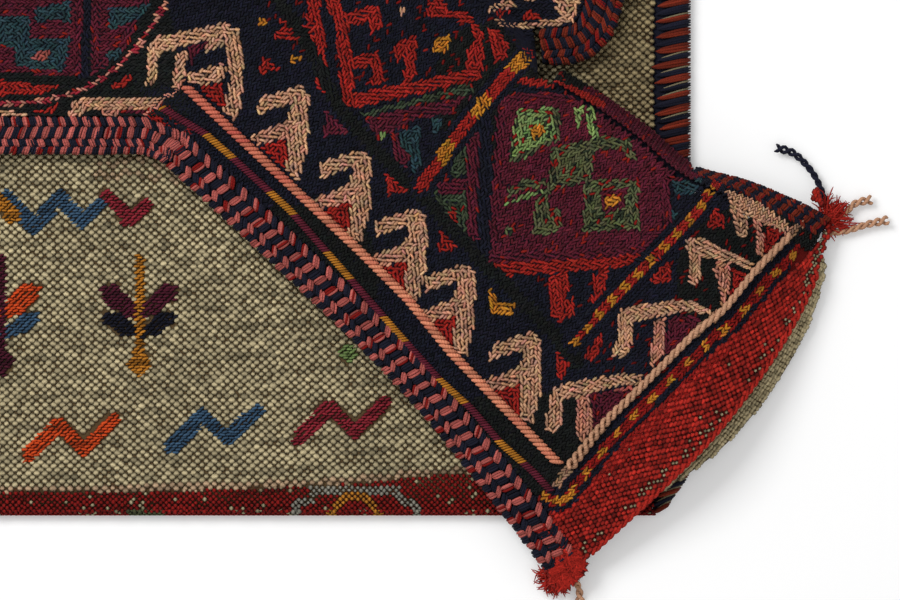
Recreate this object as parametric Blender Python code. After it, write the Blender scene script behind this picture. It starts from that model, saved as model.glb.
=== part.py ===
# Necked kilim bag that lies back up, with its neck folded down over the back.
#
# X runs along the bottom hem and Z is up. The table is at Z = 0, and the origin lies on it under the
# middle of the fold. All sizes below are in millimetres, and the meshes are made in metres.
# The cloth is one length: its patterned front lies on the table, turns up at the fold and is the top
# layer of the neck. Its plain back is the inner layer all the way, and both meet at the bottom hem.

import math

import bmesh
import bpy
import numpy as np
from mathutils import Vector
from mathutils.geometry import delaunay_2d_cdt

MM = 0.001

# Cloth and its layers
CLOTH = 2.2
SEAT_GAP = 0.3
REST_GAP = 1.3
FOLD_LOFT = 6.0
FOLD_LOFT_REACH = 30.0
ARCH_HEIGHT = 12.5
ARCH_REACH = 42.0
ARCH_DROP = 9.0
MOUTH_GAP = 9.0
MOUTH_GAP_REACH = 60.0
MOUTH_CORNER_REACH = 70.0
MOUTH_LIP = 8.0
MOUTH_LIP_SPAN = (66.0, 231.0)
DROOP_REACH = 48.0
GRID = 13.0
GRID_CLEARANCE = 0.4
CORNER_GAP = 2.0

# Body, as it lies flat
BODY_WIDTH = 460.0
BODY_BOTTOM = -170.0

# Edge seams
BRAID_WIDTH = 14.5
BRAID_PITCH = 6.8
BRAID_RELIEF = 0.5
SEAM_GAP = 0.8
TURNED_TILT = math.radians(68.0)

# Wool figures
WOOL = 0.6
WOOL_GAP = 0.6
LEVEL = WOOL + SEAT_GAP
HEM_BAND = 9.0
HEM_START = 4.8
HEM_STEP = 40.0
MOUTH_BAND_START = 1.5
MOUTH_BAND = 22.0
MOUTH_BAND_SPAN = (17.0, 212.0)
RIB_PITCH = 6.4
ZIGZAG_WIDTH = 3.8
LEAF_WIDTH = 4.0
YARN_RADIUS = 1.6
YARN_STEP = 5.0
SEAM_SETTLE = 26.0
TURNED_REACH = 60.0

# Places on the table, seen from above
FOLD_LINE = ((-BODY_WIDTH / 2, 28.0), (-126.0, 57.0), (0.0, 81.0), (116.0, 91.0), (BODY_WIDTH / 2, 96.0))
FOLDED_CORNER = (-105.0, -16.0)
LOBE = ((BODY_WIDTH / 2, 96.0), (211.0, 70.0), (202.0, 49.0), (197.0, 34.0), (186.0, 23.5), (168.0, 21.0))
CREST = ((291.5, -45.5), (277.5, -38.0), (254.0, -30.0), (231.0, -24.0), (209.5, -6.4), (188.0, 8.5), (170.0, 19.0))
RIDGE = ((286.0, -53.0), (272.0, -47.0), (250.0, -39.0), (226.0, -32.0), (203.0, -15.0), (182.0, 0.0), (160.0, 13.0),
         (140.0, 33.0), (118.0, 60.0))
STEP_TOP = (163.5, 38.0)
STEP_FOOT = (168.0, 8.0)
STEP_NORMAL = (0.82, 0.57)
STEP_LOW = 12.0
ARCH_END = 300.0

# The neck's own frame is a across from its left edge and b along from its mouth.
# Each row gives a, b and the place of that point on the table.
NECK_WIDTH = 234.0
NECK_LENGTH = 249.0
NECK_PLACES = (
    (0.0, 0.0, 174.0, -200.0),
    (0.0, 62.5, 137.3, -151.3),
    (0.0, 161.5, 70.5, -78.6),
    (0.0, 249.0, 3.4, -16.2),
    (67.0, 64.0, 184.0, -99.9),
    (67.0, 217.0, 77.8, 10.6),
    (32.0, 34.0, 176.4, -151.7),
    (117.0, 115.0, 181.9, -22.5),
    (117.0, 213.0, 110.0, 44.6),
    (117.0, 0.0, 240.0, -136.0),
    (201.0, 34.0, 273.3, -42.5),
    (234.0, 0.0, 291.5, -45.5),
)

BEIGE = (0.40, 0.34, 0.22)
PINK = (0.36, 0.085, 0.075)
RUST = (0.25, 0.03, 0.014)
NAVY = (0.008, 0.009, 0.016)
CREAM = (0.66, 0.42, 0.27)
RED = (0.37, 0.015, 0.012)
DEEP_RED = (0.25, 0.012, 0.01)
PLUM = (0.08, 0.011, 0.03)
MAROON = (0.05, 0.006, 0.014)
OLIVE = (0.075, 0.09, 0.036)
GREEN = (0.16, 0.27, 0.09)
BLUE = (0.04, 0.09, 0.15)
OCHRE = (0.52, 0.21, 0.015)
ORANGE = (0.54, 0.06, 0.016)
CRIMSON = (0.30, 0.02, 0.03)

# Shapes of the figures, seen from above, each from its own reference point
HOOK = ((-19.5, -1.7), (-0.8, 3.4), (3.0, 0.8), (3.0, -32.0), (-2.6, -32.0), (-2.6, -21.4), (-11.0, -23.2),
        (-11.8, -17.6), (-2.6, -15.4), (-2.6, -3.4), (-17.8, -7.6))
HOOK_COUNT = 6
FIRST_HOOK = (39.5, 34.0)
HOOK_STEP = (25.9, -25.5)
MOUTH_HOOK = ((-3.0, -14.0), (2.6, -14.0), (2.6, -2.1), (13.6, -0.4), (13.6, -9.0), (18.7, -9.0), (19.0, 0.4),
              (25.0, 1.6), (24.4, 6.4), (-3.0, 2.6))
MOUTH_HOOK_PLACES = ((175.8, -119.5), (203.5, -88.5), (229.5, -60.0))
ZIGZAG = ((-17.0, -6.8), (-5.0, 5.0), (5.0, -4.3), (17.0, 6.8))
STEM = ((-2.0, 0.0), (-4.2, -4.0), (0.0, -9.0), (4.2, -4.0), (2.0, 0.0), (2.0, 38.0), (-2.0, 38.0))
UPPER_LEAF = ((4.6, 17.0), (15.5, 27.0))
LOWER_LEAF = ((4.6, 8.0), (15.0, 17.0))
SPRIG_FOOT = -99.0
UPPER_ZIGZAG = ((-59.0, -34.9), (-47.2, -48.9), (-37.4, -34.9), (-27.2, -45.5), (-19.0, -35.9))
UPPER_ZIGZAG_END = ((-13.5, -34.0), (-6.2, -46.5), (1.0, -37.0))
ZIGZAG_PLACES = (
    ((-148.0, -138.0), CRIMSON),
    ((-90.0, -138.0), BLUE),
    ((-31.9, -136.9), ORANGE),
    ((28.9, -133.5), BLUE),
    ((82.9, -129.6), CRIMSON),
)
SPRIG_ROW = (
    (-119.0, OCHRE, MAROON, BLUE),
    (-61.0, MAROON, ORANGE, BLUE),
    (-3.0, OCHRE, MAROON, NAVY),
)
GUARD_LINES = (
    ("pink_guard_line", ((14.0, 12.8), (41.2, -9.8), (66.7, -35.3), (90.0, -57.4), (111.0, -78.2), (128.8, -100.3),
                         (172.0, -145.0)), 4.7, PINK),
    ("dark_guard_line", ((77.8, 10.6), (105.0, -17.0), (184.0, -99.9)), 6.0, NAVY),
    ("mouth_guard_line", ((180.0, -150.5), (263.0, -54.5)), 3.4, CREAM),
    ("mouth_cross_band", ((190.0, -89.5), (226.0, -49.5)), 4.4, OCHRE),
    ("middle_cross_band", ((150.0, 3.0), (120.0, -27.0)), 4.4, OCHRE),
)
MEDALLION_BARS = (
    ("green_hook", ((161.5, -45.0), (161.5, -27.5), (181.0, -25.0), (181.0, -14.0)), 4.4, OLIVE),
)
MEDALLION_FIELDS = (
    ("plum_medallion", ((151.0, -61.0), (196.0, -61.0), (212.0, -44.0), (197.0, -27.0), (176.0, -11.0),
                        (163.0, -2.5), (155.0, -2.5), (151.0, -6.0)), PLUM, 0),
    ("green_square", ((155.0, -20.5), (174.0, -20.5), (174.0, -13.5), (163.0, -5.0), (155.0, -5.0)), GREEN, 1),
    ("olive_square", ((187.0, -50.0), (204.0, -50.0), (204.0, -38.5), (195.0, -30.0), (187.0, -30.0)), OLIVE, 1),
    ("red_medallion", ((86.0, 8.5), (142.0, 8.5), (146.0, 12.5), (128.0, 36.0), (108.0, 40.0), (86.0, 24.0)), RED, 0),
    ("navy_square", ((96.0, 15.0), (134.0, 15.0), (134.0, 20.0), (120.0, 33.0), (108.0, 33.0), (96.0, 22.0)), NAVY, 1),
    ("shoulder_medallion", ((-76.0, 17.0), (-30.0, 17.0), (-30.0, 44.0), (-40.0, 50.0), (-76.0, 42.0)), PLUM, 0),
    ("shoulder_square", ((-52.0, 22.0), (-40.0, 22.0), (-40.0, 32.0), (-52.0, 32.0)), PINK, 1),
)
YARN_ENDS = (
    ("cream_end_1", ((286.6, -50.1, 3.4), (296.0, -49.5, 2.4), (306.0, -46.5, 2.2), (315.0, -44.6, 2.0)), CREAM),
    ("cream_end_2", ((289.4, -45.6, 3.4), (296.0, -42.0, 2.4), (301.0, -37.6, 2.2), (308.0, -36.0, 2.0)), CREAM),
    ("navy_end", ((289.3, -42.3, 3.4), (287.6, -35.0, 2.6), (283.0, -25.0, 2.4), (275.0, -16.5, 2.0),
                  (267.0, -14.0, 2.0)), NAVY),
    ("mouth_end", ((181.2, -196.7, 4.4), (183.5, -201.0, 2.8), (184.0, -207.0, 2.0)), CREAM),
)

STACK = 2 * CLOTH + SEAT_GAP
BACK_LOWER = STACK - CLOTH / 2
BACK_TOP = STACK
FOLD_TOP = BACK_LOWER + CLOTH + REST_GAP + FOLD_LOFT


def clear_scene():
    """Remove every object of the scene."""
    for item in list(bpy.data.objects):
        bpy.data.objects.remove(item, do_unlink=True)


def wool_material(name, colour):
    """Matt wool in one colour."""
    material = bpy.data.materials.new(name)
    material.use_nodes = True
    shader = material.node_tree.nodes["Principled BSDF"]
    shader.inputs["Base Color"].default_value = (*colour, 1.0)
    shader.inputs["Roughness"].default_value = 0.9
    shader.inputs["Metallic"].default_value = 0.0
    return material


def add_object(name, mesh_builder, colour):
    """Turn a bmesh in millimetres into a named object in metres."""
    bmesh.ops.scale(mesh_builder, vec=(MM, MM, MM), verts=mesh_builder.verts)
    bmesh.ops.recalc_face_normals(mesh_builder, faces=mesh_builder.faces)
    mesh = bpy.data.meshes.new(name)
    mesh_builder.to_mesh(mesh)
    mesh_builder.free()
    mesh.materials.append(wool_material(name + "_wool", colour))
    item = bpy.data.objects.new(name, mesh)
    bpy.context.scene.collection.objects.link(item)
    return item


def smoothstep(value):
    """Rise smoothly from 0 to 1."""
    value = np.clip(value, 0.0, 1.0)
    return value * value * (3.0 - 2.0 * value)


def smooth_curve(points, step):
    """Points about one step apart on a smooth curve through the given points."""
    points = np.array(points, dtype=float)
    before = np.vstack([2 * points[0] - points[1], points[:-1]])
    after = np.vstack([points[1:], 2 * points[-1] - points[-2]])
    slopes = (after - before) / 2.0
    result = [points[0]]
    for start, end, leave, arrive in zip(points[:-1], points[1:], slopes[:-1], slopes[1:]):
        count = max(1, int(round(np.linalg.norm(end - start) / step)))
        for t in np.arange(1, count + 1) / count:
            a = 2 * t**3 - 3 * t**2 + 1
            b = t**3 - 2 * t**2 + t
            c = -2 * t**3 + 3 * t**2
            d = t**3 - t**2
            result.append(a * start + b * leave + c * end + d * arrive)
    return np.array(result)


def even_curve(points, step):
    """The same line with points an equal distance apart."""
    points = np.array(points, dtype=float)
    lengths = np.concatenate([[0.0], np.cumsum(np.linalg.norm(np.diff(points, axis=0), axis=1))])
    count = max(2, int(round(lengths[-1] / step)) + 1)
    at = np.linspace(0.0, lengths[-1], count)
    return np.column_stack([np.interp(at, lengths, points[:, axis]) for axis in (0, 1)])


def side_normals(points):
    """Unit normals on the left of a line, mitred at its corners."""
    points = np.array(points, dtype=float)
    steps = np.diff(points, axis=0)
    steps /= np.linalg.norm(steps, axis=1)[:, None]
    left = np.column_stack([-steps[:, 1], steps[:, 0]])
    first = np.vstack([left[:1], left])
    second = np.vstack([left, left[-1:]])
    mitre = first + second
    mitre /= np.linalg.norm(mitre, axis=1)[:, None]
    stretch = np.clip((mitre * first).sum(axis=1), 0.6, 1.0)
    return mitre / stretch[:, None]


def curve_distance(x, y, curve):
    """Distance from each place to a line of points."""
    places = np.stack([np.asarray(x, dtype=float), np.asarray(y, dtype=float)], axis=-1)
    best = np.full(places.shape[:-1], 1e9)
    for start, end in zip(curve[:-1], curve[1:]):
        along = end - start
        share = np.clip(((places - start) @ along) / (along @ along), 0.0, 1.0)
        gap = np.linalg.norm(places - start - share[..., None] * along, axis=-1)
        best = np.minimum(best, gap)
    return best


def thin_plate_map(rows):
    """Smooth map of the plane that takes each row's first pair to its second pair."""
    rows = np.array(rows, dtype=float)
    source = rows[:, :2]

    def kernel(points):
        squares = ((points[:, None, :] - source[None, :, :])**2).sum(axis=2)
        return squares * np.log(squares + 1e-9)

    count = len(rows)
    system = np.zeros((count + 3, count + 3))
    system[:count, :count] = kernel(source)
    system[:count, count] = 1.0
    system[:count, count + 1:] = source
    system[count:, :count] = system[:count, count:].T
    target = np.zeros((count + 3, 2))
    target[:count] = rows[:, 2:]
    weights = np.linalg.solve(system, target)

    def place(a, b):
        points = np.column_stack([np.ravel(a), np.ravel(b)]).astype(float)
        lift = np.column_stack([kernel(points), np.ones(len(points)), points])
        return lift @ weights

    return place


neck_place = thin_plate_map(NECK_PLACES)
FOLD = smooth_curve(FOLD_LINE, GRID)
CREST_LINE = smooth_curve(CREST, GRID)
LOBE_EDGE = smooth_curve(LOBE, GRID)
NECK_LEFT = neck_place(np.zeros(21), np.linspace(NECK_LENGTH, 0.0, 21))
MOUTH = neck_place(np.linspace(0.0, NECK_WIDTH, 19), np.zeros(19))
MOUTH_MIDDLE = MOUTH[len(MOUTH) // 2]
RIDGE_LINE = smooth_curve(RIDGE, GRID)


def past_step(x, y):
    """How far a place lies on the shoulder's side of the step beside the flap's ridge."""
    beyond = (x - STEP_FOOT[0]) * STEP_NORMAL[0] + (y - STEP_FOOT[1]) * STEP_NORMAL[1]
    return np.maximum(beyond, 0.0) * smoothstep((y - STEP_LOW) / ARCH_DROP)


def back_height(x, y):
    """Height of the middle of the folded neck's under layer."""
    x = np.asarray(x, dtype=float)
    y = np.asarray(y, dtype=float)
    outside = np.maximum(np.maximum(np.abs(x) - BODY_WIDTH / 2, BODY_BOTTOM - y), 0.0)
    support = (BACK_TOP + REST_GAP - SEAT_GAP) * (1.0 - smoothstep(outside / DROOP_REACH))
    from_fold = curve_distance(x, y, FOLD)
    loft = (FOLD_TOP - CLOTH / 2 - BACK_TOP - REST_GAP) * np.exp(-(from_fold / FOLD_LOFT_REACH)**2)
    settle = smoothstep(from_fold / FOLD_LOFT_REACH)
    from_ridge = curve_distance(x, y, RIDGE_LINE)
    arch = ARCH_HEIGHT * np.exp(-(from_ridge / ARCH_REACH)**2) * settle
    arch = arch * (1.0 - smoothstep(past_step(x, y) / ARCH_DROP)) * smoothstep((ARCH_END - x) / TURNED_REACH)
    return SEAT_GAP + CLOTH / 2 + support + loft + arch


def front_height(x, y):
    """Height of the middle of the folded neck's top layer."""
    x = np.asarray(x, dtype=float)
    y = np.asarray(y, dtype=float)
    from_middle = np.hypot(x - MOUTH_MIDDLE[0], y - MOUTH_MIDDLE[1])
    from_left = np.hypot(x - MOUTH[0][0], y - MOUTH[0][1])
    from_right = np.hypot(x - MOUTH[-1][0], y - MOUTH[-1][1])
    corners = smoothstep(from_left / MOUTH_CORNER_REACH) * smoothstep(from_right / MOUTH_CORNER_REACH)
    gap = MOUTH_GAP * np.exp(-(from_middle / MOUTH_GAP_REACH)**2) * corners
    return back_height(x, y) + CLOTH + SEAT_GAP + gap


def neck_top(x, y):
    """Height of the upper face of the folded neck."""
    return front_height(x, y) + CLOTH / 2


def body_top(x, y):
    """Height of the plain back as it lies flat."""
    return np.full(np.shape(x), BACK_TOP)


def inside_outline(x, y, outline):
    """Which places lie inside a closed outline."""
    inside = np.zeros(np.shape(x), dtype=bool)
    for start, end in zip(outline, np.roll(outline, -1, axis=0)):
        crosses = (start[1] > y) != (end[1] > y)
        rise = end[1] - start[1]
        reach = start[0] + (y - start[1]) * (end[0] - start[0]) / (rise if rise else 1e-9)
        inside ^= crosses & (x < reach)
    return inside


def fill_outline(outline, spacing):
    """Triangles that fill an outline, with inner points on a grid unless spacing is None."""
    outline = np.array(outline, dtype=float)
    inner = np.zeros((0, 2))
    if spacing:
        low = outline.min(axis=0)
        high = outline.max(axis=0)
        grid_x, grid_y = np.meshgrid(np.arange(low[0] + spacing / 2, high[0], spacing),
                                     np.arange(low[1] + spacing / 2, high[1], spacing))
        grid_x = grid_x.ravel()
        grid_y = grid_y.ravel()
        closed = np.vstack([outline, outline[:1]])
        keep = inside_outline(grid_x, grid_y, outline)
        keep &= curve_distance(grid_x, grid_y, closed) > spacing * GRID_CLEARANCE
        inner = np.column_stack([grid_x[keep], grid_y[keep]])
    places = [Vector(point) for point in np.vstack([outline, inner])]
    ring = list(range(len(outline)))
    result = delaunay_2d_cdt(places, [], [ring], 1, 1e-6)
    return np.array([tuple(point) for point in result[0]]), [list(face) for face in result[2]]


def add_layer(builder, outline, height, spacing):
    """Add a filled outline to a mesh at the height that a function gives."""
    places, faces = fill_outline(outline, spacing)
    heights = height(places[:, 0], places[:, 1])
    verts = [builder.verts.new((x, y, z)) for (x, y), z in zip(places, heights)]
    for face in faces:
        builder.faces.new([verts[index] for index in face])


def add_turn(builder, line, normals, low, high, steps):
    """Add the half round strip that joins two layers along a line."""
    middle = (low + high) / 2.0
    radius = (high - low) / 2.0
    rows = []
    for index in range(steps + 1):
        angle = math.pi * index / steps
        reach = radius * math.sin(angle)
        height = middle - radius * math.cos(angle)
        rows.append([builder.verts.new((*(point + normal * reach), height)) for point, normal in zip(line, normals)])
    for first, second in zip(rows[:-1], rows[1:]):
        for index in range(len(line) - 1):
            builder.faces.new((first[index], first[index + 1], second[index + 1], second[index]))


def inner_edge(outer, start_inner, margin):
    """The inner side of a seam that starts on the fold line and then keeps its width."""
    inner = outer + side_normals(outer) * margin
    travelled = np.concatenate([[0.0], np.cumsum(np.linalg.norm(np.diff(outer, axis=0), axis=1))])
    share = smoothstep(travelled / SEAM_SETTLE)[:, None]
    shifted = outer + (np.array(start_inner) - outer[0])
    return shifted * (1.0 - share) + inner * share


def fold_point(x):
    """The point of the fold line at a given x."""
    return np.array([x, np.interp(x, FOLD[:, 0], FOLD[:, 1])])


def left_side_outline(step):
    """Outer line of the left seam from the fold over the folded corner to the neck."""
    side = even_curve((FOLD_LINE[0], FOLDED_CORNER), step)
    ledge = even_curve((FOLDED_CORNER, tuple(NECK_LEFT[0])), step)
    return np.vstack([side, ledge[1:]])


def turned_tilt(x):
    """How far the right seam of the neck is turned down; it lies flat at the mouth."""
    return TURNED_TILT * smoothstep((CREST[0][0] - x) / TURNED_REACH)


def crest_inside(line, clearance):
    """The inner side of the turned down seam, seen from above."""
    tilt = turned_tilt(line[:, 0])
    reach = BRAID_WIDTH * np.cos(tilt) + clearance
    return line + side_normals(line) * reach[:, None]


def mouth_lip(mouth):
    """Mouth edge of the under layer, which shows beyond the top layer where the mouth sags open."""
    across = np.linspace(0.0, NECK_WIDTH, len(MOUTH))[2:-2]
    start, end = MOUTH_LIP_SPAN
    share = np.clip((across - start) / (end - start), 0.0, 1.0)
    return mouth - side_normals(mouth) * (MOUTH_LIP * np.sin(math.pi * share))[:, None]


def build_cloth():
    """One folded length of cloth: its middle surface, thickened to both sides."""
    builder = bmesh.new()
    margin = BRAID_WIDTH + SEAM_GAP
    limit = BODY_WIDTH / 2 - margin
    middle_fold = FOLD[np.abs(FOLD[:, 0]) < limit - CORNER_GAP]
    fold = np.vstack([fold_point(-limit), middle_fold, fold_point(limit)])
    hem = BODY_BOTTOM + BACK_TOP / 2
    bottom = even_curve(((-limit, hem), (limit, hem)), HEM_STEP)
    lower = np.vstack([bottom, fold[::-1]])
    front_level = CLOTH / 2
    add_layer(builder, lower, lambda x, y: np.full(len(x), front_level), None)
    add_layer(builder, lower, lambda x, y: np.full(len(x), BACK_LOWER), None)
    add_turn(builder, bottom, np.tile((0.0, -1.0), (len(bottom), 1)), front_level, BACK_LOWER, 6)

    left = inner_edge(left_side_outline(GRID), fold[0], margin)[1:-1]
    neck = NECK_LEFT + side_normals(NECK_LEFT) * margin
    up_neck = neck[0] - neck[1]
    corner = neck[0] + up_neck * (left[-1][1] - neck[0][1]) / up_neck[1]
    crest = crest_inside(CREST_LINE, SEAM_GAP)
    crest = (crest + side_normals(CREST_LINE) * (STACK / 2 * np.sin(turned_tilt(CREST_LINE[:, 0])))[:, None])[1:]
    lobe = inner_edge(LOBE_EDGE, fold[-1], -margin)[1:][::-1]
    lobe = lobe[lobe[:, 0] > STEP_TOP[0] + CORNER_GAP]
    mouth = MOUTH[2:-2]

    def upper(mouth_edge):
        return np.vstack([fold[:1], left, corner, neck, mouth_edge, crest, [STEP_TOP], lobe, fold[:0:-1]])

    front_top = FOLD_TOP + CLOTH + SEAT_GAP

    def exact(height, level):
        def at(x, y):
            heights = height(x, y)
            heights[curve_distance(x, y, fold) < 1e-3] = level
            return heights
        return at

    add_layer(builder, upper(mouth_lip(mouth)), exact(back_height, FOLD_TOP), GRID)
    add_layer(builder, upper(mouth), exact(front_height, front_top), GRID)
    add_turn(builder, fold, side_normals(fold), BACK_LOWER, FOLD_TOP, 6)
    add_turn(builder, fold, side_normals(fold), front_level, front_top, 8)
    bmesh.ops.remove_doubles(builder, verts=builder.verts, dist=1e-3)
    item = add_object("cloth", builder, BEIGE)
    thicken = item.modifiers.new("thickness", "SOLIDIFY")
    thicken.thickness = CLOTH * MM
    thicken.offset = 0.0
    thicken.use_even_offset = True
    return item


def middle_height(points):
    """Height halfway between the two layers of the folded neck."""
    return (back_height(points[:, 0], points[:, 1]) + front_height(points[:, 0], points[:, 1])) / 2.0


def add_seam(name, outer, inner, normals, faces_down, colour):
    """A flat seam with V shaped ridges, through stations of outer and inner points.

    Each second station is a ridge and the others are grooves, and the middle of each station lies
    half a pitch ahead of its sides. On the stretch that faces down the lower face stays flat.
    """
    ahead = np.roll(outer + inner, -2, axis=0) / 2.0
    ahead[-2:] = ((outer + inner) / 2.0)[-2:]
    middle = (outer + inner) / 2.0
    shift = np.clip(np.arange(len(outer)) / 2.0, 0.0, 1.0)[:, None]
    middle = middle + (ahead - middle) * shift * 0.5
    groove = (np.arange(len(outer)) % 2) * BRAID_RELIEF
    ridged = (STACK / 2 - groove)[:, None] * normals
    front = np.where(faces_down[:, None], STACK / 2 * normals, ridged)
    back = -ridged
    rings = np.stack([outer + front, middle + front, inner + front, inner + back, middle + back, outer + back], axis=1)
    builder = bmesh.new()
    rows = [[builder.verts.new(tuple(point)) for point in ring] for ring in rings]
    count = rings.shape[1]
    for first, second in zip(rows[:-1], rows[1:]):
        for index in range(count):
            after = (index + 1) % count
            builder.faces.new((first[index], first[after], second[after], second[index]))
    for ring in (rows[0], rows[-1]):
        builder.faces.new((ring[0], ring[1], ring[4], ring[5]))
        builder.faces.new((ring[1], ring[2], ring[3], ring[4]))
    return add_object(name, builder, colour)


def resampled(line, count):
    """The same line with a given number of evenly spaced points."""
    lengths = np.concatenate([[0.0], np.cumsum(np.linalg.norm(np.diff(line, axis=0), axis=1))])
    at = np.linspace(0.0, lengths[-1], count)
    return np.column_stack([np.interp(at, lengths, line[:, axis]) for axis in (0, 1)])


def stations(length):
    """How many stations a seam of this length has: two for each ridge."""
    return 2 * int(length / BRAID_PITCH) + 1


def line_length(line):
    """Length of a line of points."""
    return np.linalg.norm(np.diff(line, axis=0), axis=1).sum()


def side_seam(name, side, edge, short, colour):
    """Seam up one side of the body, round the fold and on along the folded part's edge."""
    half = BODY_WIDTH / 2
    outer_fold = fold_point(side * half)
    inner_fold = fold_point(side * (half - BRAID_WIDTH))
    length = outer_fold[1] - BODY_BOTTOM
    share = np.linspace(0.0, 1.0, stations(length))[:, None]
    outer_low = np.array([side * half, BODY_BOTTOM]) * (1 - share) + outer_fold * share
    inner_low = np.array([side * (half - BRAID_WIDTH), BODY_BOTTOM]) * (1 - share) + inner_fold * share
    angles = np.linspace(0.0, math.pi, 9)[1:-1]
    direction = side_normals(FOLD)[0 if side < 0 else -1]
    low_middle = STACK / 2
    top_middle = FOLD_TOP + (CLOTH + SEAT_GAP) / 2
    radius = (top_middle - low_middle) / 2
    count = stations(line_length(edge))
    keep = count - short
    outer_upper = resampled(edge, count)[:keep]
    inner_upper = resampled(inner_edge(edge, inner_fold, -side * BRAID_WIDTH), count)[:keep]

    def at_height(points, heights):
        return np.column_stack([points, np.broadcast_to(heights, len(points))])

    turn_shift = np.sin(angles)[:, None] * direction * radius
    turn_heights = (low_middle + top_middle) / 2 - radius * np.cos(angles)
    outer = np.vstack([at_height(outer_low, low_middle), at_height(outer_fold + turn_shift, turn_heights),
                       at_height(outer_upper, middle_height(outer_upper))])
    inner = np.vstack([at_height(inner_low, low_middle), at_height(inner_fold + turn_shift, turn_heights),
                       at_height(inner_upper, middle_height(inner_upper))])
    turn_normals = np.column_stack([np.sin(angles)[:, None] * direction, -np.cos(angles)])
    normals = np.vstack([np.tile((0.0, 0.0, -1.0), (len(outer_low), 1)), turn_normals,
                         np.tile((0.0, 0.0, 1.0), (len(outer_upper), 1))])
    faces_down = np.arange(len(outer)) < len(outer_low)
    return add_seam(name, outer, inner, normals, faces_down, colour)


def left_neck_seam():
    """Seam down the left side of the neck, from the shoulder to the mouth."""
    count = stations(line_length(NECK_LEFT))
    outer = resampled(NECK_LEFT, count)
    inner = resampled(NECK_LEFT + side_normals(NECK_LEFT) * BRAID_WIDTH, count)
    up = np.tile((0.0, 0.0, 1.0), (len(outer), 1))
    return add_seam("left_neck_braid", np.column_stack([outer, middle_height(outer)]),
                    np.column_stack([inner, middle_height(inner)]), up, np.zeros(len(outer), dtype=bool), PINK)


def right_neck_seam():
    """Seam along the right side of the neck, turned down under the flap's edge."""
    count = stations(line_length(CREST_LINE))
    line = resampled(CREST_LINE, count)
    inner = resampled(crest_inside(CREST_LINE, 0.0), count)
    tilt = turned_tilt(line[:, 0])
    inward = side_normals(line)
    inner_height = middle_height(inner)
    outer_height = np.maximum(inner_height - BRAID_WIDTH * np.sin(tilt), SEAT_GAP + STACK / 2)
    normals = np.column_stack([-inward * np.sin(tilt)[:, None], np.cos(tilt)])
    keep = slice(1, -2)
    return add_seam("right_neck_braid", np.column_stack([line, outer_height])[keep],
                    np.column_stack([inner, inner_height])[keep], normals[keep],
                    np.zeros(len(line), dtype=bool)[keep], RUST)


def build_seams():
    """The four wrapped seams of the bag's open edges."""
    side_seam("left_side_braid", -1, left_side_outline(GRID), 1, PINK)
    side_seam("right_side_braid", 1, LOBE_EDGE, 0, RUST)
    left_neck_seam()
    right_neck_seam()


def plate(name, outline, surface, colour, level=0, spacing=None, thickness=WOOL):
    """A raised field of wool that follows a surface."""
    outline = np.array(outline, dtype=float)
    places, faces = fill_outline(outline, spacing)
    ground = surface(places[:, 0], places[:, 1]) + WOOL_GAP + level * LEVEL
    builder = bmesh.new()
    low = [builder.verts.new((x, y, z)) for (x, y), z in zip(places, ground)]
    high = [builder.verts.new((x, y, z + thickness)) for (x, y), z in zip(places, ground)]
    edge_uses = {}
    for face in faces:
        builder.faces.new([high[index] for index in face])
        builder.faces.new([low[index] for index in reversed(face)])
        for start, end in zip(face, face[1:] + face[:1]):
            edge_uses[(start, end)] = True
    for start, end in edge_uses:
        if (end, start) not in edge_uses:
            builder.faces.new((low[start], low[end], high[end], high[start]))
    return add_object(name, builder, colour)


def finer(outline, step):
    """The same closed outline with points at most a step apart."""
    outline = np.array(outline, dtype=float)
    result = []
    for start, end in zip(outline, np.roll(outline, -1, axis=0)):
        count = max(1, int(math.ceil(np.linalg.norm(end - start) / step)))
        result.extend(start + (end - start) * index / count for index in range(count))
    return np.array(result)


def ribbon(points, width, step=None):
    """Outline of a band of even width along a line."""
    line = np.array(points, dtype=float)
    if step:
        line = even_curve(line, step)
    normals = side_normals(line)
    return np.vstack([line - normals * width / 2, (line + normals * width / 2)[::-1]])


def moved(shape, place):
    """A shape shifted to a place."""
    return np.array(shape) + np.array(place)


def band(name, row_starts, row_ends, surface, colour, ribbed):
    """A woven band between two lines of points, with a rib at each second station if ribbed."""
    starts = np.array(row_starts)
    ends = np.array(row_ends)
    middles = (starts + ends) / 2.0
    columns = np.stack([starts, middles, ends], axis=1)
    ground = surface(columns[..., 0].ravel(), columns[..., 1].ravel()).reshape(columns.shape[:2]) + WOOL_GAP
    rise = WOOL - (np.arange(len(starts)) % 2)[:, None] * (WOOL / 2 if ribbed else 0.0)
    builder = bmesh.new()
    rows = []
    for places, heights, lift in zip(columns, ground, rise):
        low = [builder.verts.new((x, y, z)) for (x, y), z in zip(places, heights)]
        high = [builder.verts.new((x, y, z + lift[0])) for (x, y), z in zip(places, heights)]
        rows.append(low + high[::-1])
    count = len(rows[0])
    for first, second in zip(rows[:-1], rows[1:]):
        for index in range(count):
            after = (index + 1) % count
            builder.faces.new((first[index], first[after], second[after], second[index]))
    for ring in (rows[0], rows[-1]):
        builder.faces.new((ring[0], ring[1], ring[4], ring[5]))
        builder.faces.new((ring[1], ring[2], ring[3], ring[4]))
    return add_object(name, builder, colour)


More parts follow.
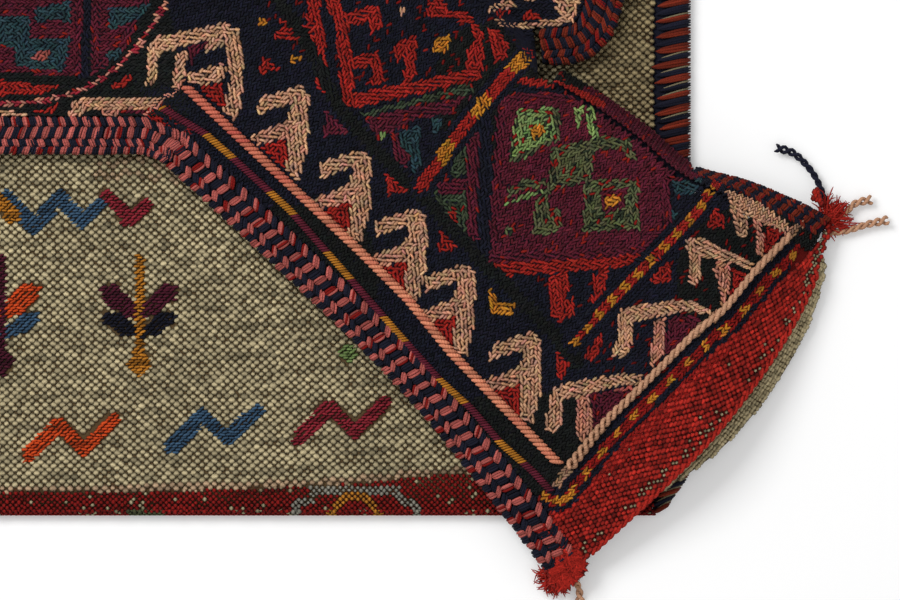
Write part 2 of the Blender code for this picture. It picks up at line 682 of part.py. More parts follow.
def build_bands():
    """Red weft-faced bands at the mouth and over the bottom hem."""
    ribs = int((MOUTH_BAND_SPAN[1] - MOUTH_BAND_SPAN[0]) / RIB_PITCH)
    across = np.linspace(*MOUTH_BAND_SPAN, 2 * ribs + 1)
    outer = neck_place(across, np.full(len(across), MOUTH_BAND_START))
    inner = neck_place(across, np.full(len(across), MOUTH_BAND))
    band("mouth_band", outer, inner, neck_top, RED, True)
    limit = BODY_WIDTH / 2 - BRAID_WIDTH - SEAM_GAP
    along = np.arange(-limit, limit, HEM_STEP)
    low = np.column_stack([along, np.full(len(along), BODY_BOTTOM + HEM_START)])
    high = np.column_stack([along, np.full(len(along), BODY_BOTTOM + HEM_START + HEM_BAND)])
    band("hem_band", low, high, body_top, DEEP_RED, False)


def build_neck_figures():
    """Hooks, guard lines and medallions of the neck's front."""
    for index in range(HOOK_COUNT):
        place = np.array(FIRST_HOOK) + index * np.array(HOOK_STEP)
        plate(f"side_hook_{index + 1}", finer(moved(HOOK, place), 9.0), neck_top, CREAM)
    for index, place in enumerate(MOUTH_HOOK_PLACES):
        plate(f"mouth_hook_{index + 1}", finer(moved(MOUTH_HOOK, place), 9.0), neck_top, CREAM)
    for name, points, width, colour in GUARD_LINES:
        plate(name, ribbon(points, width, 8.0), neck_top, colour)
    for name, points, width, colour in MEDALLION_BARS:
        plate(name, ribbon(points, width, 8.0), neck_top, colour, level=1)
    for name, outline, colour, level in MEDALLION_FIELDS:
        plate(name, finer(outline, 9.0), neck_top, colour, level, spacing=9.0)


def build_back_figures():
    """Zigzags and sprigs on the plain back."""
    for index, (place, colour) in enumerate(ZIGZAG_PLACES):
        plate(f"zigzag_{index + 1}", ribbon(moved(ZIGZAG, place), ZIGZAG_WIDTH), body_top, colour)
    plate("upper_zigzag_blue", ribbon(UPPER_ZIGZAG, ZIGZAG_WIDTH), body_top, BLUE)
    plate("upper_zigzag_crimson", ribbon(UPPER_ZIGZAG_END, ZIGZAG_WIDTH), body_top, CRIMSON)
    for index, (x, stem, upper_leaf, lower_leaf) in enumerate(SPRIG_ROW):
        place = (x, SPRIG_FOOT)
        name = f"sprig_{index + 1}"
        plate(name + "_stem", moved(STEM, place), body_top, stem)
        for side, label in ((-1.0, "left"), (1.0, "right")):
            turn = np.array((side, 1.0))
            plate(f"{name}_{label}_upper_leaf", ribbon(moved(np.array(UPPER_LEAF) * turn, place), LEAF_WIDTH),
                  body_top, upper_leaf)
            plate(f"{name}_{label}_lower_leaf", ribbon(moved(np.array(LOWER_LEAF) * turn, place), LEAF_WIDTH),
                  body_top, lower_leaf)


def yarn_end(name, points, radius, colour):
    """A short loose end of yarn."""
    curve = bpy.data.curves.new(name, "CURVE")
    curve.dimensions = "3D"
    curve.bevel_depth = radius * MM
    curve.bevel_resolution = 2
    curve.use_fill_caps = True
    spline = curve.splines.new("POLY")
    spline.points.add(len(points) - 1)
    for item, point in zip(spline.points, points):
        item.co = (point[0] * MM, point[1] * MM, point[2] * MM, 1.0)
    curve.materials.append(wool_material(name + "_wool", colour))
    item = bpy.data.objects.new(name, curve)
    bpy.context.scene.collection.objects.link(item)
    return item


def build_yarn_ends():
    """The loose ends at the two corners of the mouth."""
    for name, points, colour in YARN_ENDS:
        yarn_end(name, smooth_curve(points, YARN_STEP), YARN_RADIUS, colour)


def main():
    clear_scene()
    build_cloth()
    build_seams()
    build_bands()
    build_neck_figures()
    build_back_figures()
    build_yarn_ends()


main()
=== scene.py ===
# %% [markdown]
# # A kilim bag with its neck folded over
#
# The bag is one length of hand woven wool cloth. Its front is wrapped-weft work, which weavers call soumak:
# each coloured yarn is carried over a few warps and back, so the face is made of thousands of small slanting
# stitches. Its back is plain undyed weave. Here it lies back up, and its neck is folded down over the back,
# so both faces show. A picture on a flat surface would look painted. Each stitch is made as a small body of
# wool instead, and the design only decides which colour a stitch has, as it does on the loom.

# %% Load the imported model
import math

import bmesh
import bpy
import numpy as np
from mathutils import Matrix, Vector
from mathutils.geometry import delaunay_2d_cdt


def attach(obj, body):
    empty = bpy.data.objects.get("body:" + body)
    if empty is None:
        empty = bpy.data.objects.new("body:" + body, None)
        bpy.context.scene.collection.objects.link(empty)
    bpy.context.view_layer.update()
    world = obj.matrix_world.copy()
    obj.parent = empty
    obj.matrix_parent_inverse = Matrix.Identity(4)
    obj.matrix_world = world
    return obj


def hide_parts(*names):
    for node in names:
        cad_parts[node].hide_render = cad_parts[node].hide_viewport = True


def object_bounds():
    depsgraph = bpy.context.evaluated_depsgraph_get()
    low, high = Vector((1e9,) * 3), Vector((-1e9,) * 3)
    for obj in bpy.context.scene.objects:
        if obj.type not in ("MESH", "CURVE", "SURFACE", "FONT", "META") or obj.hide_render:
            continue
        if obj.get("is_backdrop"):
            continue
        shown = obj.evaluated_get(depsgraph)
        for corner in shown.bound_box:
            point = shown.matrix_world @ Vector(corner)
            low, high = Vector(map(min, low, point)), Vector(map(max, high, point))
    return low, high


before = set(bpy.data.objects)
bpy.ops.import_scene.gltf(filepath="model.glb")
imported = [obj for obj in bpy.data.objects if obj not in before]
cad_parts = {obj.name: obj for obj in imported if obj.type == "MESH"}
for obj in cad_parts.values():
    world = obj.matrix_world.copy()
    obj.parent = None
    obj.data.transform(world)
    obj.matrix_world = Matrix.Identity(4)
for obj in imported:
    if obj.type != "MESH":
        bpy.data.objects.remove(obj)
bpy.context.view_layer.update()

# %% [markdown]
# ## Units and the picture's own measure
#
# All lengths below are millimetres, and the last step turns them into metres. The design is drawn in the
# units of a picture that is 900 wide and 600 high and looks straight down. One of its units is 0.425 mm,
# because the warps of such a cloth lie a little over 2 mm apart. Y runs down in the picture and up on the
# table.

# %% Units
MM = 0.001
UNIT = 0.425
PICTURE_ORIGIN = (147.0, 115.0)
rng = np.random.default_rng(41)


def on_table(points):
    """Picture units to millimetres on the table: shift to the origin, turn y round and scale."""
    points = np.asarray(points, dtype=float)
    return (points - PICTURE_ORIGIN) * (UNIT, -UNIT)


def in_picture(x, y):
    """Millimetres on the table to picture units."""
    return x / UNIT + PICTURE_ORIGIN[0], PICTURE_ORIGIN[1] - y / UNIT


print("the picture covers", round(900 * UNIT), "by", round(600 * UNIT), "mm")

# %% [markdown]
# ## Camera
#
# The bag is seen from straight above. A long lens far away keeps the lines of the cloth straight, as a
# picture of a flat textile needs. The distance and the lens together give the picture's width.

# %% Camera
DISTANCE = 2600.0
SENSOR = 36.0
centre = on_table((450.0, 300.0))
camera_data = bpy.data.cameras.new("camera")
camera_data.type = "PERSP"
camera_data.sensor_width = SENSOR
camera_data.lens = SENSOR * DISTANCE / (900 * UNIT)
camera_data.clip_end = 20.0
camera = bpy.data.objects.new("camera", camera_data)
camera.location = (centre[0] * MM, centre[1] * MM, DISTANCE * MM)
bpy.context.scene.collection.objects.link(camera)
bpy.context.scene.camera = camera
print("lens", round(camera_data.lens))

# %% [markdown]
# ## Floor, light and background
#
# A wide pale floor carries the shadow. Rays that come straight from the camera see a little extra light on
# it, so it turns white without more light on the wool. One large soft lamp stands to the upper left, and the
# world fills the shadows, as in a studio.

# %% Floor and lights
FLOOR_HALF = 4.0
FLOOR_DEPTH = 0.0004
FLOOR_GLOW = 0.16
WORLD_STRENGTH = 0.62
LAMP_PLACE = Vector((-0.75, 0.75, 1.15))
LAMP_AIM = Vector((0.1288, -0.0786, 0.0))
LAMP_SIZE = (0.9, 0.7)
LAMP_WATTS = 17.0


def seen_by_camera(nodes, links):
    """One where a ray comes from the camera, from a glossy surface or through glass."""
    path = nodes.new("ShaderNodeLightPath")
    either = nodes.new("ShaderNodeMath")
    either.operation = "MAXIMUM"
    links.new(path.outputs["Is Camera Ray"], either.inputs[0])
    links.new(path.outputs["Is Glossy Ray"], either.inputs[1])
    any_of = nodes.new("ShaderNodeMath")
    any_of.operation = "MAXIMUM"
    links.new(either.outputs[0], any_of.inputs[0])
    links.new(path.outputs["Is Transmission Ray"], any_of.inputs[1])
    return any_of.outputs[0]


floor_material = bpy.data.materials.new("white_floor")
floor_material.use_nodes = True
floor_nodes = floor_material.node_tree.nodes
floor_shader = floor_nodes["Principled BSDF"]
floor_shader.inputs["Base Color"].default_value = (0.9, 0.9, 0.9, 1.0)
floor_shader.inputs["Roughness"].default_value = 0.95
floor_shader.inputs["Emission Color"].default_value = (1.0, 1.0, 1.0, 1.0)
glow = floor_nodes.new("ShaderNodeMath")
glow.operation = "MULTIPLY"
glow.inputs[1].default_value = FLOOR_GLOW
floor_material.node_tree.links.new(seen_by_camera(floor_nodes, floor_material.node_tree.links), glow.inputs[0])
floor_material.node_tree.links.new(glow.outputs[0], floor_shader.inputs["Emission Strength"])
floor_mesh = bpy.data.meshes.new("floor")
floor_corners = [(x * FLOOR_HALF, y * FLOOR_HALF, -FLOOR_DEPTH)
                 for x, y in ((-1, -1), (1, -1), (1, 1), (-1, 1))]
floor_mesh.from_pydata(floor_corners, [], [(0, 1, 2, 3)])
floor_mesh.materials.append(floor_material)
floor = bpy.data.objects.new("floor", floor_mesh)
bpy.context.scene.collection.objects.link(floor)
floor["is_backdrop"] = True

world = bpy.data.worlds.new("studio")
world.use_nodes = True
world.node_tree.nodes["Background"].inputs["Color"].default_value = (1.0, 1.0, 1.0, 1.0)
world.node_tree.nodes["Background"].inputs["Strength"].default_value = WORLD_STRENGTH
bpy.context.scene.world = world
lamp_data = bpy.data.lights.new("soft_box", "AREA")
lamp_data.shape = "RECTANGLE"
lamp_data.size, lamp_data.size_y = LAMP_SIZE
lamp_data.energy = LAMP_WATTS
lamp = bpy.data.objects.new("soft_box", lamp_data)
lamp.location = LAMP_PLACE
lamp.rotation_euler = (LAMP_AIM - LAMP_PLACE).to_track_quat("-Z", "Y").to_euler()
bpy.context.scene.collection.objects.link(lamp)
bpy.context.scene.view_settings.view_transform = "Standard"
print("light", lamp_data.energy, "W")

# %% [markdown]
# ## The shape of the folded cloth
#
# The cloth lies flat, turns up at the fold and comes back as the upper layers. Where they lie follows a few
# plain causes. They rest on what is below. They stand off near the fold, because wool doesn't crease sharply.
# One long soft ridge runs along the neck's turned edge, and the mouth stays a little open. So each layer is a
# height over the table, worked out from distances to a few lines. The values are those of the solid model.

# %% Sizes of the cloth
CLOTH = 2.2
SEAT_GAP = 0.3
REST_GAP = 1.3
FOLD_LOFT = 6.0
FOLD_LOFT_REACH = 30.0
ARCH_HEIGHT = 12.5
ARCH_REACH = 42.0
ARCH_DROP = 9.0
MOUTH_GAP = 9.0
MOUTH_GAP_REACH = 60.0
MOUTH_CORNER_REACH = 70.0
MOUTH_LIP = 8.0
MOUTH_LIP_SPAN = (66.0, 231.0)
DROOP_REACH = 48.0
BODY_WIDTH = 460.0
BODY_BOTTOM = -170.0
BRAID_WIDTH = 14.5
SEAM_GAP = 0.8
TURNED_TILT = math.radians(68.0)
TURNED_REACH = 60.0
SEAM_SETTLE = 26.0
CORNER_GAP = 2.0
STACK = 2 * CLOTH + SEAT_GAP
BACK_LOWER = STACK - CLOTH / 2
FOLD_TOP = BACK_LOWER + CLOTH + REST_GAP + FOLD_LOFT
NECK_WIDTH = 234.0
NECK_LENGTH = 249.0
FOLD_LINE = ((-BODY_WIDTH / 2, 28.0), (-126.0, 57.0), (0.0, 81.0), (116.0, 91.0), (BODY_WIDTH / 2, 96.0))
FOLDED_CORNER = (-105.0, -16.0)
LOBE = ((BODY_WIDTH / 2, 96.0), (211.0, 70.0), (202.0, 49.0), (197.0, 34.0), (186.0, 23.5), (168.0, 21.0))
CREST = ((291.5, -45.5), (277.5, -38.0), (254.0, -30.0), (231.0, -24.0), (209.5, -6.4), (188.0, 8.5),
         (170.0, 19.0))
RIDGE = ((286.0, -53.0), (272.0, -47.0), (250.0, -39.0), (226.0, -32.0), (203.0, -15.0), (182.0, 0.0),
         (160.0, 13.0), (140.0, 33.0), (118.0, 60.0))
STEP_TOP = (163.5, 38.0)
STEP_FOOT = (168.0, 8.0)
STEP_NORMAL = (0.82, 0.57)
STEP_LOW = 12.0
ARCH_END = 300.0
# Each row: a place across the neck and along it from the mouth, then the same place's x and y on the table
NECK_PLACES = (
    (0.0, 0.0, 174.0, -200.0), (0.0, 62.5, 137.3, -151.3), (0.0, 161.5, 70.5, -78.6),
    (0.0, 249.0, 3.4, -16.2), (67.0, 64.0, 184.0, -99.9), (67.0, 217.0, 77.8, 10.6),
    (32.0, 34.0, 176.4, -151.7), (117.0, 115.0, 181.9, -22.5), (117.0, 213.0, 110.0, 44.6),
    (117.0, 0.0, 240.0, -136.0), (201.0, 34.0, 273.3, -42.5), (234.0, 0.0, 291.5, -45.5),
)
print("two layers are", STACK, "mm thick")

# %% [markdown]
# ## Curves, and the neck's own map
#
# Lines are arrays of points, and a few helpers measure them. The folded neck has a frame of its own: one
# number across it and one along it from the mouth. A smooth map takes such a place to the table. It is fixed
# by twelve places and bends between them like a thin plate, so rows of stitches can follow the neck's curves.

# %% Curves and the neck's own map


def smoothstep(value):
    """Rise smoothly from 0 to 1: three squares less two cubes of the clipped value."""
    value = np.clip(value, 0.0, 1.0)
    return value * value * (3.0 - 2.0 * value)


def smooth_curve(points, step):
    """Points about one step apart on a cubic through the given points, whose slope at each point is half the
    way from its neighbour before to its neighbour after."""
    points = np.array(points, dtype=float)
    before = np.vstack([2 * points[0] - points[1], points[:-1]])
    after = np.vstack([points[1:], 2 * points[-1] - points[-2]])
    slopes = (after - before) / 2.0
    result = [points[:1]]
    for start, end, leave, arrive in zip(points[:-1], points[1:], slopes[:-1], slopes[1:]):
        count = max(1, int(round(np.linalg.norm(end - start) / step)))
        t = (np.arange(1, count + 1) / count)[:, None]
        result.append((2 * t**3 - 3 * t**2 + 1) * start + (t**3 - 2 * t**2 + t) * leave
                      + (3 * t**2 - 2 * t**3) * end + (t**3 - t**2) * arrive)
    return np.vstack(result)


def arc_lengths(line):
    """Length along a line up to each of its points."""
    return np.concatenate([[0.0], np.cumsum(np.linalg.norm(np.diff(line, axis=0), axis=1))])


def resampled(line, count):
    """The same line with a given number of evenly spaced points."""
    line = np.asarray(line, dtype=float)
    lengths = arc_lengths(line)
    at = np.linspace(0.0, lengths[-1], count)
    return np.column_stack([np.interp(at, lengths, line[:, axis]) for axis in range(line.shape[1])])


def side_normals(points):
    """Unit normals on the left of a line, each the mean of its two steps' normals."""
    points = np.array(points, dtype=float)
    steps = np.diff(points, axis=0)
    steps /= np.linalg.norm(steps, axis=1)[:, None]
    left = np.column_stack([-steps[:, 1], steps[:, 0]])
    first = np.vstack([left[:1], left])
    mitre = first + np.vstack([left, left[-1:]])
    mitre /= np.linalg.norm(mitre, axis=1)[:, None]
    return mitre / np.clip((mitre * first).sum(axis=1), 0.6, 1.0)[:, None]


def nearest(x, y, curve):
    """Distance from each place to a line of points, and the length along the line at its nearest point."""
    places = np.stack([np.asarray(x, dtype=float), np.asarray(y, dtype=float)], axis=-1)
    best = np.full(places.shape[:-1], 1e9)
    along = np.zeros(places.shape[:-1])
    lengths = arc_lengths(np.asarray(curve, dtype=float))
    for start, end, base, top in zip(curve[:-1], curve[1:], lengths[:-1], lengths[1:]):
        step = np.asarray(end, dtype=float) - start
        share = np.clip(((places - start) @ step) / (step @ step), 0.0, 1.0)
        gap = np.linalg.norm(places - start - share[..., None] * step, axis=-1)
        along = np.where(gap < best, base + share * (top - base), along)
        best = np.minimum(best, gap)
    return best, along


def inside_outline(x, y, outline):
    """Which places lie inside a closed outline: those whose ray crosses it an odd number of times."""
    outline = np.asarray(outline, dtype=float)
    inside = np.zeros(np.shape(x), dtype=bool)
    for start, end in zip(outline, np.roll(outline, -1, axis=0)):
        crosses = (start[1] > y) != (end[1] > y)
        rise = end[1] - start[1]
        reach = start[0] + (y - start[1]) * (end[0] - start[0]) / (rise if rise else 1e-9)
        inside ^= crosses & (x < reach)
    return inside


def thin_plate_map(rows):
    """Smooth map of the plane that takes each row's first pair to its second: a sum of r squared log r bumps
    and a flat part, with weights that solve one linear system."""
    rows = np.array(rows, dtype=float)
    source = rows[:, :2]

    def kernel(points):
        squares = ((points[:, None, :] - source[None, :, :])**2).sum(axis=2)
        return squares * np.log(squares + 1e-9)

    count = len(rows)
    system = np.zeros((count + 3, count + 3))
    system[:count, :count] = kernel(source)
    system[:count, count] = 1.0
    system[:count, count + 1:] = source
    system[count:, :count] = system[:count, count:].T
    target = np.zeros((count + 3, 2))
    target[:count] = rows[:, 2:]
    weights = np.linalg.solve(system, target)

    def place(a, b):
        points = np.column_stack([np.ravel(a), np.ravel(b)]).astype(float)
        return np.column_stack([kernel(points), np.ones(len(points)), points]) @ weights

    return place


neck_place = thin_plate_map(NECK_PLACES)
FOLD = smooth_curve(FOLD_LINE, 6.0)
CREST_LINE = smooth_curve(CREST, 5.0)
LOBE_EDGE = smooth_curve(LOBE, 5.0)
RIDGE_LINE = smooth_curve(RIDGE, 8.0)
NECK_LEFT = neck_place(np.zeros(61), np.linspace(NECK_LENGTH, 0.0, 61))
MOUTH = neck_place(np.linspace(0.0, NECK_WIDTH, 61), np.zeros(61))
MOUTH_MIDDLE = MOUTH[len(MOUTH) // 2]
print("fold", len(FOLD), "points, mouth", round(arc_lengths(MOUTH)[-1]), "mm long")

# %% [markdown]
# ## How high each layer lies
#
# Each height is a function of the place on the table. The under layer rests on the bag below it, and the top
# layer on the under layer. The stitches later ask the same functions, so they always lie on the cloth.

# %% Heights of the layers


def past_step(x, y):
    """How far a place lies on the shoulder's side of the step beside the neck's ridge."""
    beyond = (x - STEP_FOOT[0]) * STEP_NORMAL[0] + (y - STEP_FOOT[1]) * STEP_NORMAL[1]
    return np.maximum(beyond, 0.0) * smoothstep((y - STEP_LOW) / ARCH_DROP)


def back_height(x, y):
    """Middle of the folded neck's under layer: what it rests on, the loft at the fold, and the long ridge."""
    outside = np.maximum(np.maximum(np.abs(x) - BODY_WIDTH / 2, BODY_BOTTOM - y), 0.0)
    support = (STACK + REST_GAP - SEAT_GAP) * (1.0 - smoothstep(outside / DROOP_REACH))
    from_fold = nearest(x, y, FOLD)[0]
    loft = (FOLD_TOP - CLOTH / 2 - STACK - REST_GAP) * np.exp(-(from_fold / FOLD_LOFT_REACH)**2)
    from_ridge = nearest(x, y, RIDGE_LINE)[0]
    arch = ARCH_HEIGHT * np.exp(-(from_ridge / ARCH_REACH)**2) * smoothstep(from_fold / FOLD_LOFT_REACH)
    arch = arch * (1.0 - smoothstep(past_step(x, y) / ARCH_DROP)) * smoothstep((ARCH_END - x) / TURNED_REACH)
    return SEAT_GAP + CLOTH / 2 + support + loft + arch


def front_height(x, y):
    """Middle of the top layer: on the under layer, and higher where the mouth stays open."""
    from_middle = np.hypot(x - MOUTH_MIDDLE[0], y - MOUTH_MIDDLE[1])
    from_left = np.hypot(x - MOUTH[0][0], y - MOUTH[0][1])
    from_right = np.hypot(x - MOUTH[-1][0], y - MOUTH[-1][1])
    corners = smoothstep(from_left / MOUTH_CORNER_REACH) * smoothstep(from_right / MOUTH_CORNER_REACH)
    gap = MOUTH_GAP * np.exp(-(from_middle / MOUTH_GAP_REACH)**2) * corners
    return back_height(x, y) + CLOTH + SEAT_GAP + gap


def neck_top(x, y):
    """Upper face of the folded neck."""
    return front_height(x, y) + CLOTH / 2


def back_top(x, y):
    """Upper face of the plain back, which lies flat."""
    return np.full(np.shape(x), STACK)


print("highest point of the neck", round(float(neck_top(*RIDGE_LINE.T).max()), 1), "mm")

# %% [markdown]
# ## Making meshes from arrays
#
# Thousands of stitches are one mesh. All their corners are worked out at once in numpy and handed over with
# foreach_set. Each corner carries its dye as a colour attribute, with painted shade: darker at its foot,
# where shade gathers between the stitches.

# %% Mesh helpers


def make_piece(name, verts, faces, material, colour, uv=None):
    """A smooth object from corners in millimetres, a list of face arrays, each corner's colour, which is its
    dye with painted light and shade, and perhaps UV.
    """
    mesh = bpy.data.meshes.new(name)
    mesh.vertices.add(len(verts))
    mesh.vertices.foreach_set("co", (np.asarray(verts) * MM).astype(np.float32).ravel())
    corners = np.concatenate([block.ravel() for block in faces]).astype(np.int32)
    totals = np.concatenate([np.full(len(block), block.shape[1]) for block in faces])
    mesh.loops.add(len(corners))
    mesh.loops.foreach_set("vertex_index", corners)
    mesh.polygons.add(len(totals))
    mesh.polygons.foreach_set("loop_start", np.concatenate([[0], np.cumsum(totals)[:-1]]).astype(np.int32))
    mesh.polygons.foreach_set("use_smooth", np.ones(len(totals), dtype=bool))
    attribute = mesh.color_attributes.new("wool", "FLOAT_COLOR", "POINT")
    rgba = np.column_stack([np.clip(colour, 0.0, 1.0), np.ones(len(verts))])
    attribute.data.foreach_set("color", rgba.astype(np.float32).ravel())
    if uv is not None:
        layer = mesh.uv_layers.new(name="yarn")
        layer.data.foreach_set("uv", np.asarray(uv, dtype=np.float32).ravel())
    mesh.update(calc_edges=True)
    mesh.validate()
    mesh.materials.append(material)
    item = bpy.data.objects.new(name, mesh)
    bpy.context.scene.collection.objects.link(item)
    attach(item, "root")
    print(name, int((totals - 2).sum()), "triangles")
    return item


LOWEST = 0.05
STITCH = np.array([(-1, 0, 0.12), (1, 0, 0.12), (-0.45, 1, 0.1), (0.5, 1, 0.1), (-0.5, -1, 0.1),
                   (0.45, -1, 0.1), (-0.45, 0, 1), (0.45, 0, 1)], dtype=float)
STITCH_FACES = np.array([(0, 4, 6), (0, 6, 2), (4, 5, 7), (4, 7, 6), (2, 6, 7), (2, 7, 3),
                         (5, 1, 7), (1, 3, 7), (0, 2, 4), (2, 3, 4), (3, 5, 4), (3, 1, 5)])
# Painted shade: each stitch's foot corners are darker than its top corners.
STITCH_SHADE = np.array([0.5, 0.5, 0.42, 0.42, 0.42, 0.42, 1.0, 1.0])


def stitch_piece(name, centres, along, across, up, sizes, colour, material, slot):
    """Small bodies of wool. Each is a pointed ridge: corner = centre + length x along + width x across +
    height x up, with the shares that STITCH gives."""
    parts = STITCH[None, :, :] * sizes[:, None, :]
    verts = (centres[:, None, :] + parts[..., 0:1] * along[:, None, :] + parts[..., 1:2] * across[:, None, :]
             + parts[..., 2:3] * up[:, None, :])
    verts[..., 2] = np.maximum(verts[..., 2], LOWEST)
    faces = STITCH_FACES[None, :, :] + 8 * np.arange(len(centres))[:, None, None]
    # Painted shade: the dye is darkened at the foot of each stitch.
    shades = colour[:, None, :] * STITCH_SHADE[None, :, None]
    return make_piece(name, verts.reshape(-1, 3), [faces.reshape(-1, 3)], material,
                      shades.reshape(-1, 3))


def unit(vectors):
    """The same directions with length 1."""
    return vectors / np.maximum(np.linalg.norm(vectors, axis=-1, keepdims=True), 1e-9)


TUBE_END = 0.45
TUBE_SHADE = 0.72
TUBE_TILT = np.array([0.13, 0.07, 1.0])


def tube_piece(name, paths, radius, colour, slot, sides=6):
    """Yarns as tubes: paths has one row of points for each yarn. A ring of corners stands square to the path
    at each point, and the rings at both ends are smaller and closed with a cap. The side that faces up is
    painted lightest and the side below painted darker, as on wool in soft light."""
    count, points = paths.shape[:2]
    forward = unit(np.gradient(paths, axis=1))
    side = unit(np.cross(forward, TUBE_TILT))
    top = np.cross(side, forward)
    angle = np.linspace(0.0, 2 * math.pi, sides, endpoint=False)
    size = np.broadcast_to(np.asarray(radius, dtype=float).reshape(-1, 1), (count, points)).copy()
    size[:, [0, -1]] *= TUBE_END
    ring = (np.cos(angle)[:, None] * side[:, :, None, :] + np.sin(angle)[:, None] * top[:, :, None, :])
    verts = paths[:, :, None, :] + ring * size[:, :, None, None]
    start = (np.arange(count) * points * sides)[:, None, None]
    row = (np.arange(points - 1) * sides)[None, :, None]
    here = np.arange(sides)[None, None, :]
    after = (here + 1) % sides
    quads = np.stack([start + row + here, start + row + sides + here, start + row + sides + after,
                      start + row + after], axis=-1).reshape(-1, 4)
    first = (start[:, :, 0] + np.arange(sides)[None, :]).reshape(-1, sides)
    last = (start[:, :, 0] + (points - 1) * sides + np.arange(sides)[::-1][None, :]).reshape(-1, sides)
    steps = np.cumsum(np.linalg.norm(np.diff(paths, axis=1), axis=2), axis=1)
    lengths = np.concatenate([np.zeros((count, 1)), steps], axis=1)
    low, high = lengths[:, :-1, None], lengths[:, 1:, None]
    turn = np.broadcast_to(here / sides, (count, points - 1, sides))
    next_turn = turn + 1.0 / sides
    uv = np.stack([np.stack([run + 0 * round_it, round_it], -1) for run, round_it in (
        (low, turn), (high, turn), (high, next_turn), (low, next_turn))], axis=3)
    caps = np.zeros((2 * count * sides, 2))
    verts[..., 2] = np.maximum(verts[..., 2], LOWEST)
    # Painted light and shade: the upper side of each yarn keeps its colour and the lower side is darker.
    light = np.clip(TUBE_SHADE + (1.0 - TUBE_SHADE) * ring[..., 2], 0.0, 1.0)[..., None]
    shades = light * colour[:, None, None, :]
    return make_piece(name, verts.reshape(-1, 3), [quads, first, last], yarn_wool, shades.reshape(-1, 3),
                      np.vstack([uv.reshape(-1, 2), caps]))


print("each stitch has", len(STITCH_FACES), "triangles")

# %% [markdown]
# ## Wool
#
# Hand spun wool is matt, slightly hairy and never one even colour: dye takes unevenly along a yarn, and the
# hue drifts over the cloth. The node group below gives that drift, the fine fleck of single fibres and a
# height for the bump. Each material feeds it with its own scale, and a little sheen stands for the loose
# fibres.

# %% Wool materials
wool_group = bpy.data.node_groups.new("uneven wool", "ShaderNodeTree")
for socket_name, kind, way in (("Colour", "NodeSocketColor", "INPUT"), ("Place", "NodeSocketVector", "INPUT"),
                               ("Drift", "NodeSocketFloat", "INPUT"), ("Colour", "NodeSocketColor", "OUTPUT"),
                               ("Height", "NodeSocketFloat", "OUTPUT")):
    wool_group.interface.new_socket(socket_name, in_out=way, socket_type=kind)
group_in = wool_group.nodes.new("NodeGroupInput")
group_out = wool_group.nodes.new("NodeGroupOutput")


def group_noise(scale, detail):
    """A noise texture on the group's own place."""
    noise = wool_group.nodes.new("ShaderNodeTexNoise")
    noise.inputs["Scale"].default_value = scale
    noise.inputs["Detail"].default_value = detail
    wool_group.links.new(group_in.outputs["Place"], noise.inputs["Vector"])
    return noise


def group_math(operation, first, second):
    """A math node whose inputs are sockets or numbers."""
    node = wool_group.nodes.new("ShaderNodeMath")
    node.operation = operation
    for index, value in enumerate((first, second)):
        if isinstance(value, (int, float)):
            node.inputs[index].default_value = value
        else:
            wool_group.links.new(value, node.inputs[index])
    return node.outputs[0]


PATCH_SCALE, FLECK_SCALE, FIBRE_SCALE = 45.0, 1500.0, 5200.0
FLECK_DEPTH = 0.55
patches = group_noise(PATCH_SCALE, 3.0)
fleck = group_noise(FLECK_SCALE, 2.0)
fibre = group_noise(FIBRE_SCALE, 2.0)
drift = group_math("MULTIPLY", group_math("SUBTRACT", patches.outputs[0], 0.5), group_in.outputs["Drift"])
speck = group_math("MULTIPLY", group_math("SUBTRACT", fleck.outputs[0], 0.5), FLECK_DEPTH)
level = group_math("ADD", group_math("ADD", drift, speck), 1.0)
tint = wool_group.nodes.new("ShaderNodeVectorMath")
tint.operation = "SCALE"
wool_group.links.new(group_in.outputs["Colour"], tint.inputs[0])
wool_group.links.new(level, tint.inputs["Scale"])
wool_group.links.new(tint.outputs[0], group_out.inputs["Colour"])
wool_group.links.new(group_math("ADD", fibre.outputs[0], fleck.outputs[0]), group_out.inputs["Height"])


FIBRE_RELIEF = 0.00035
TWIST_SCALE = 0.62
TWIST_STRETCH = (0.9, 1.02, 1.0)


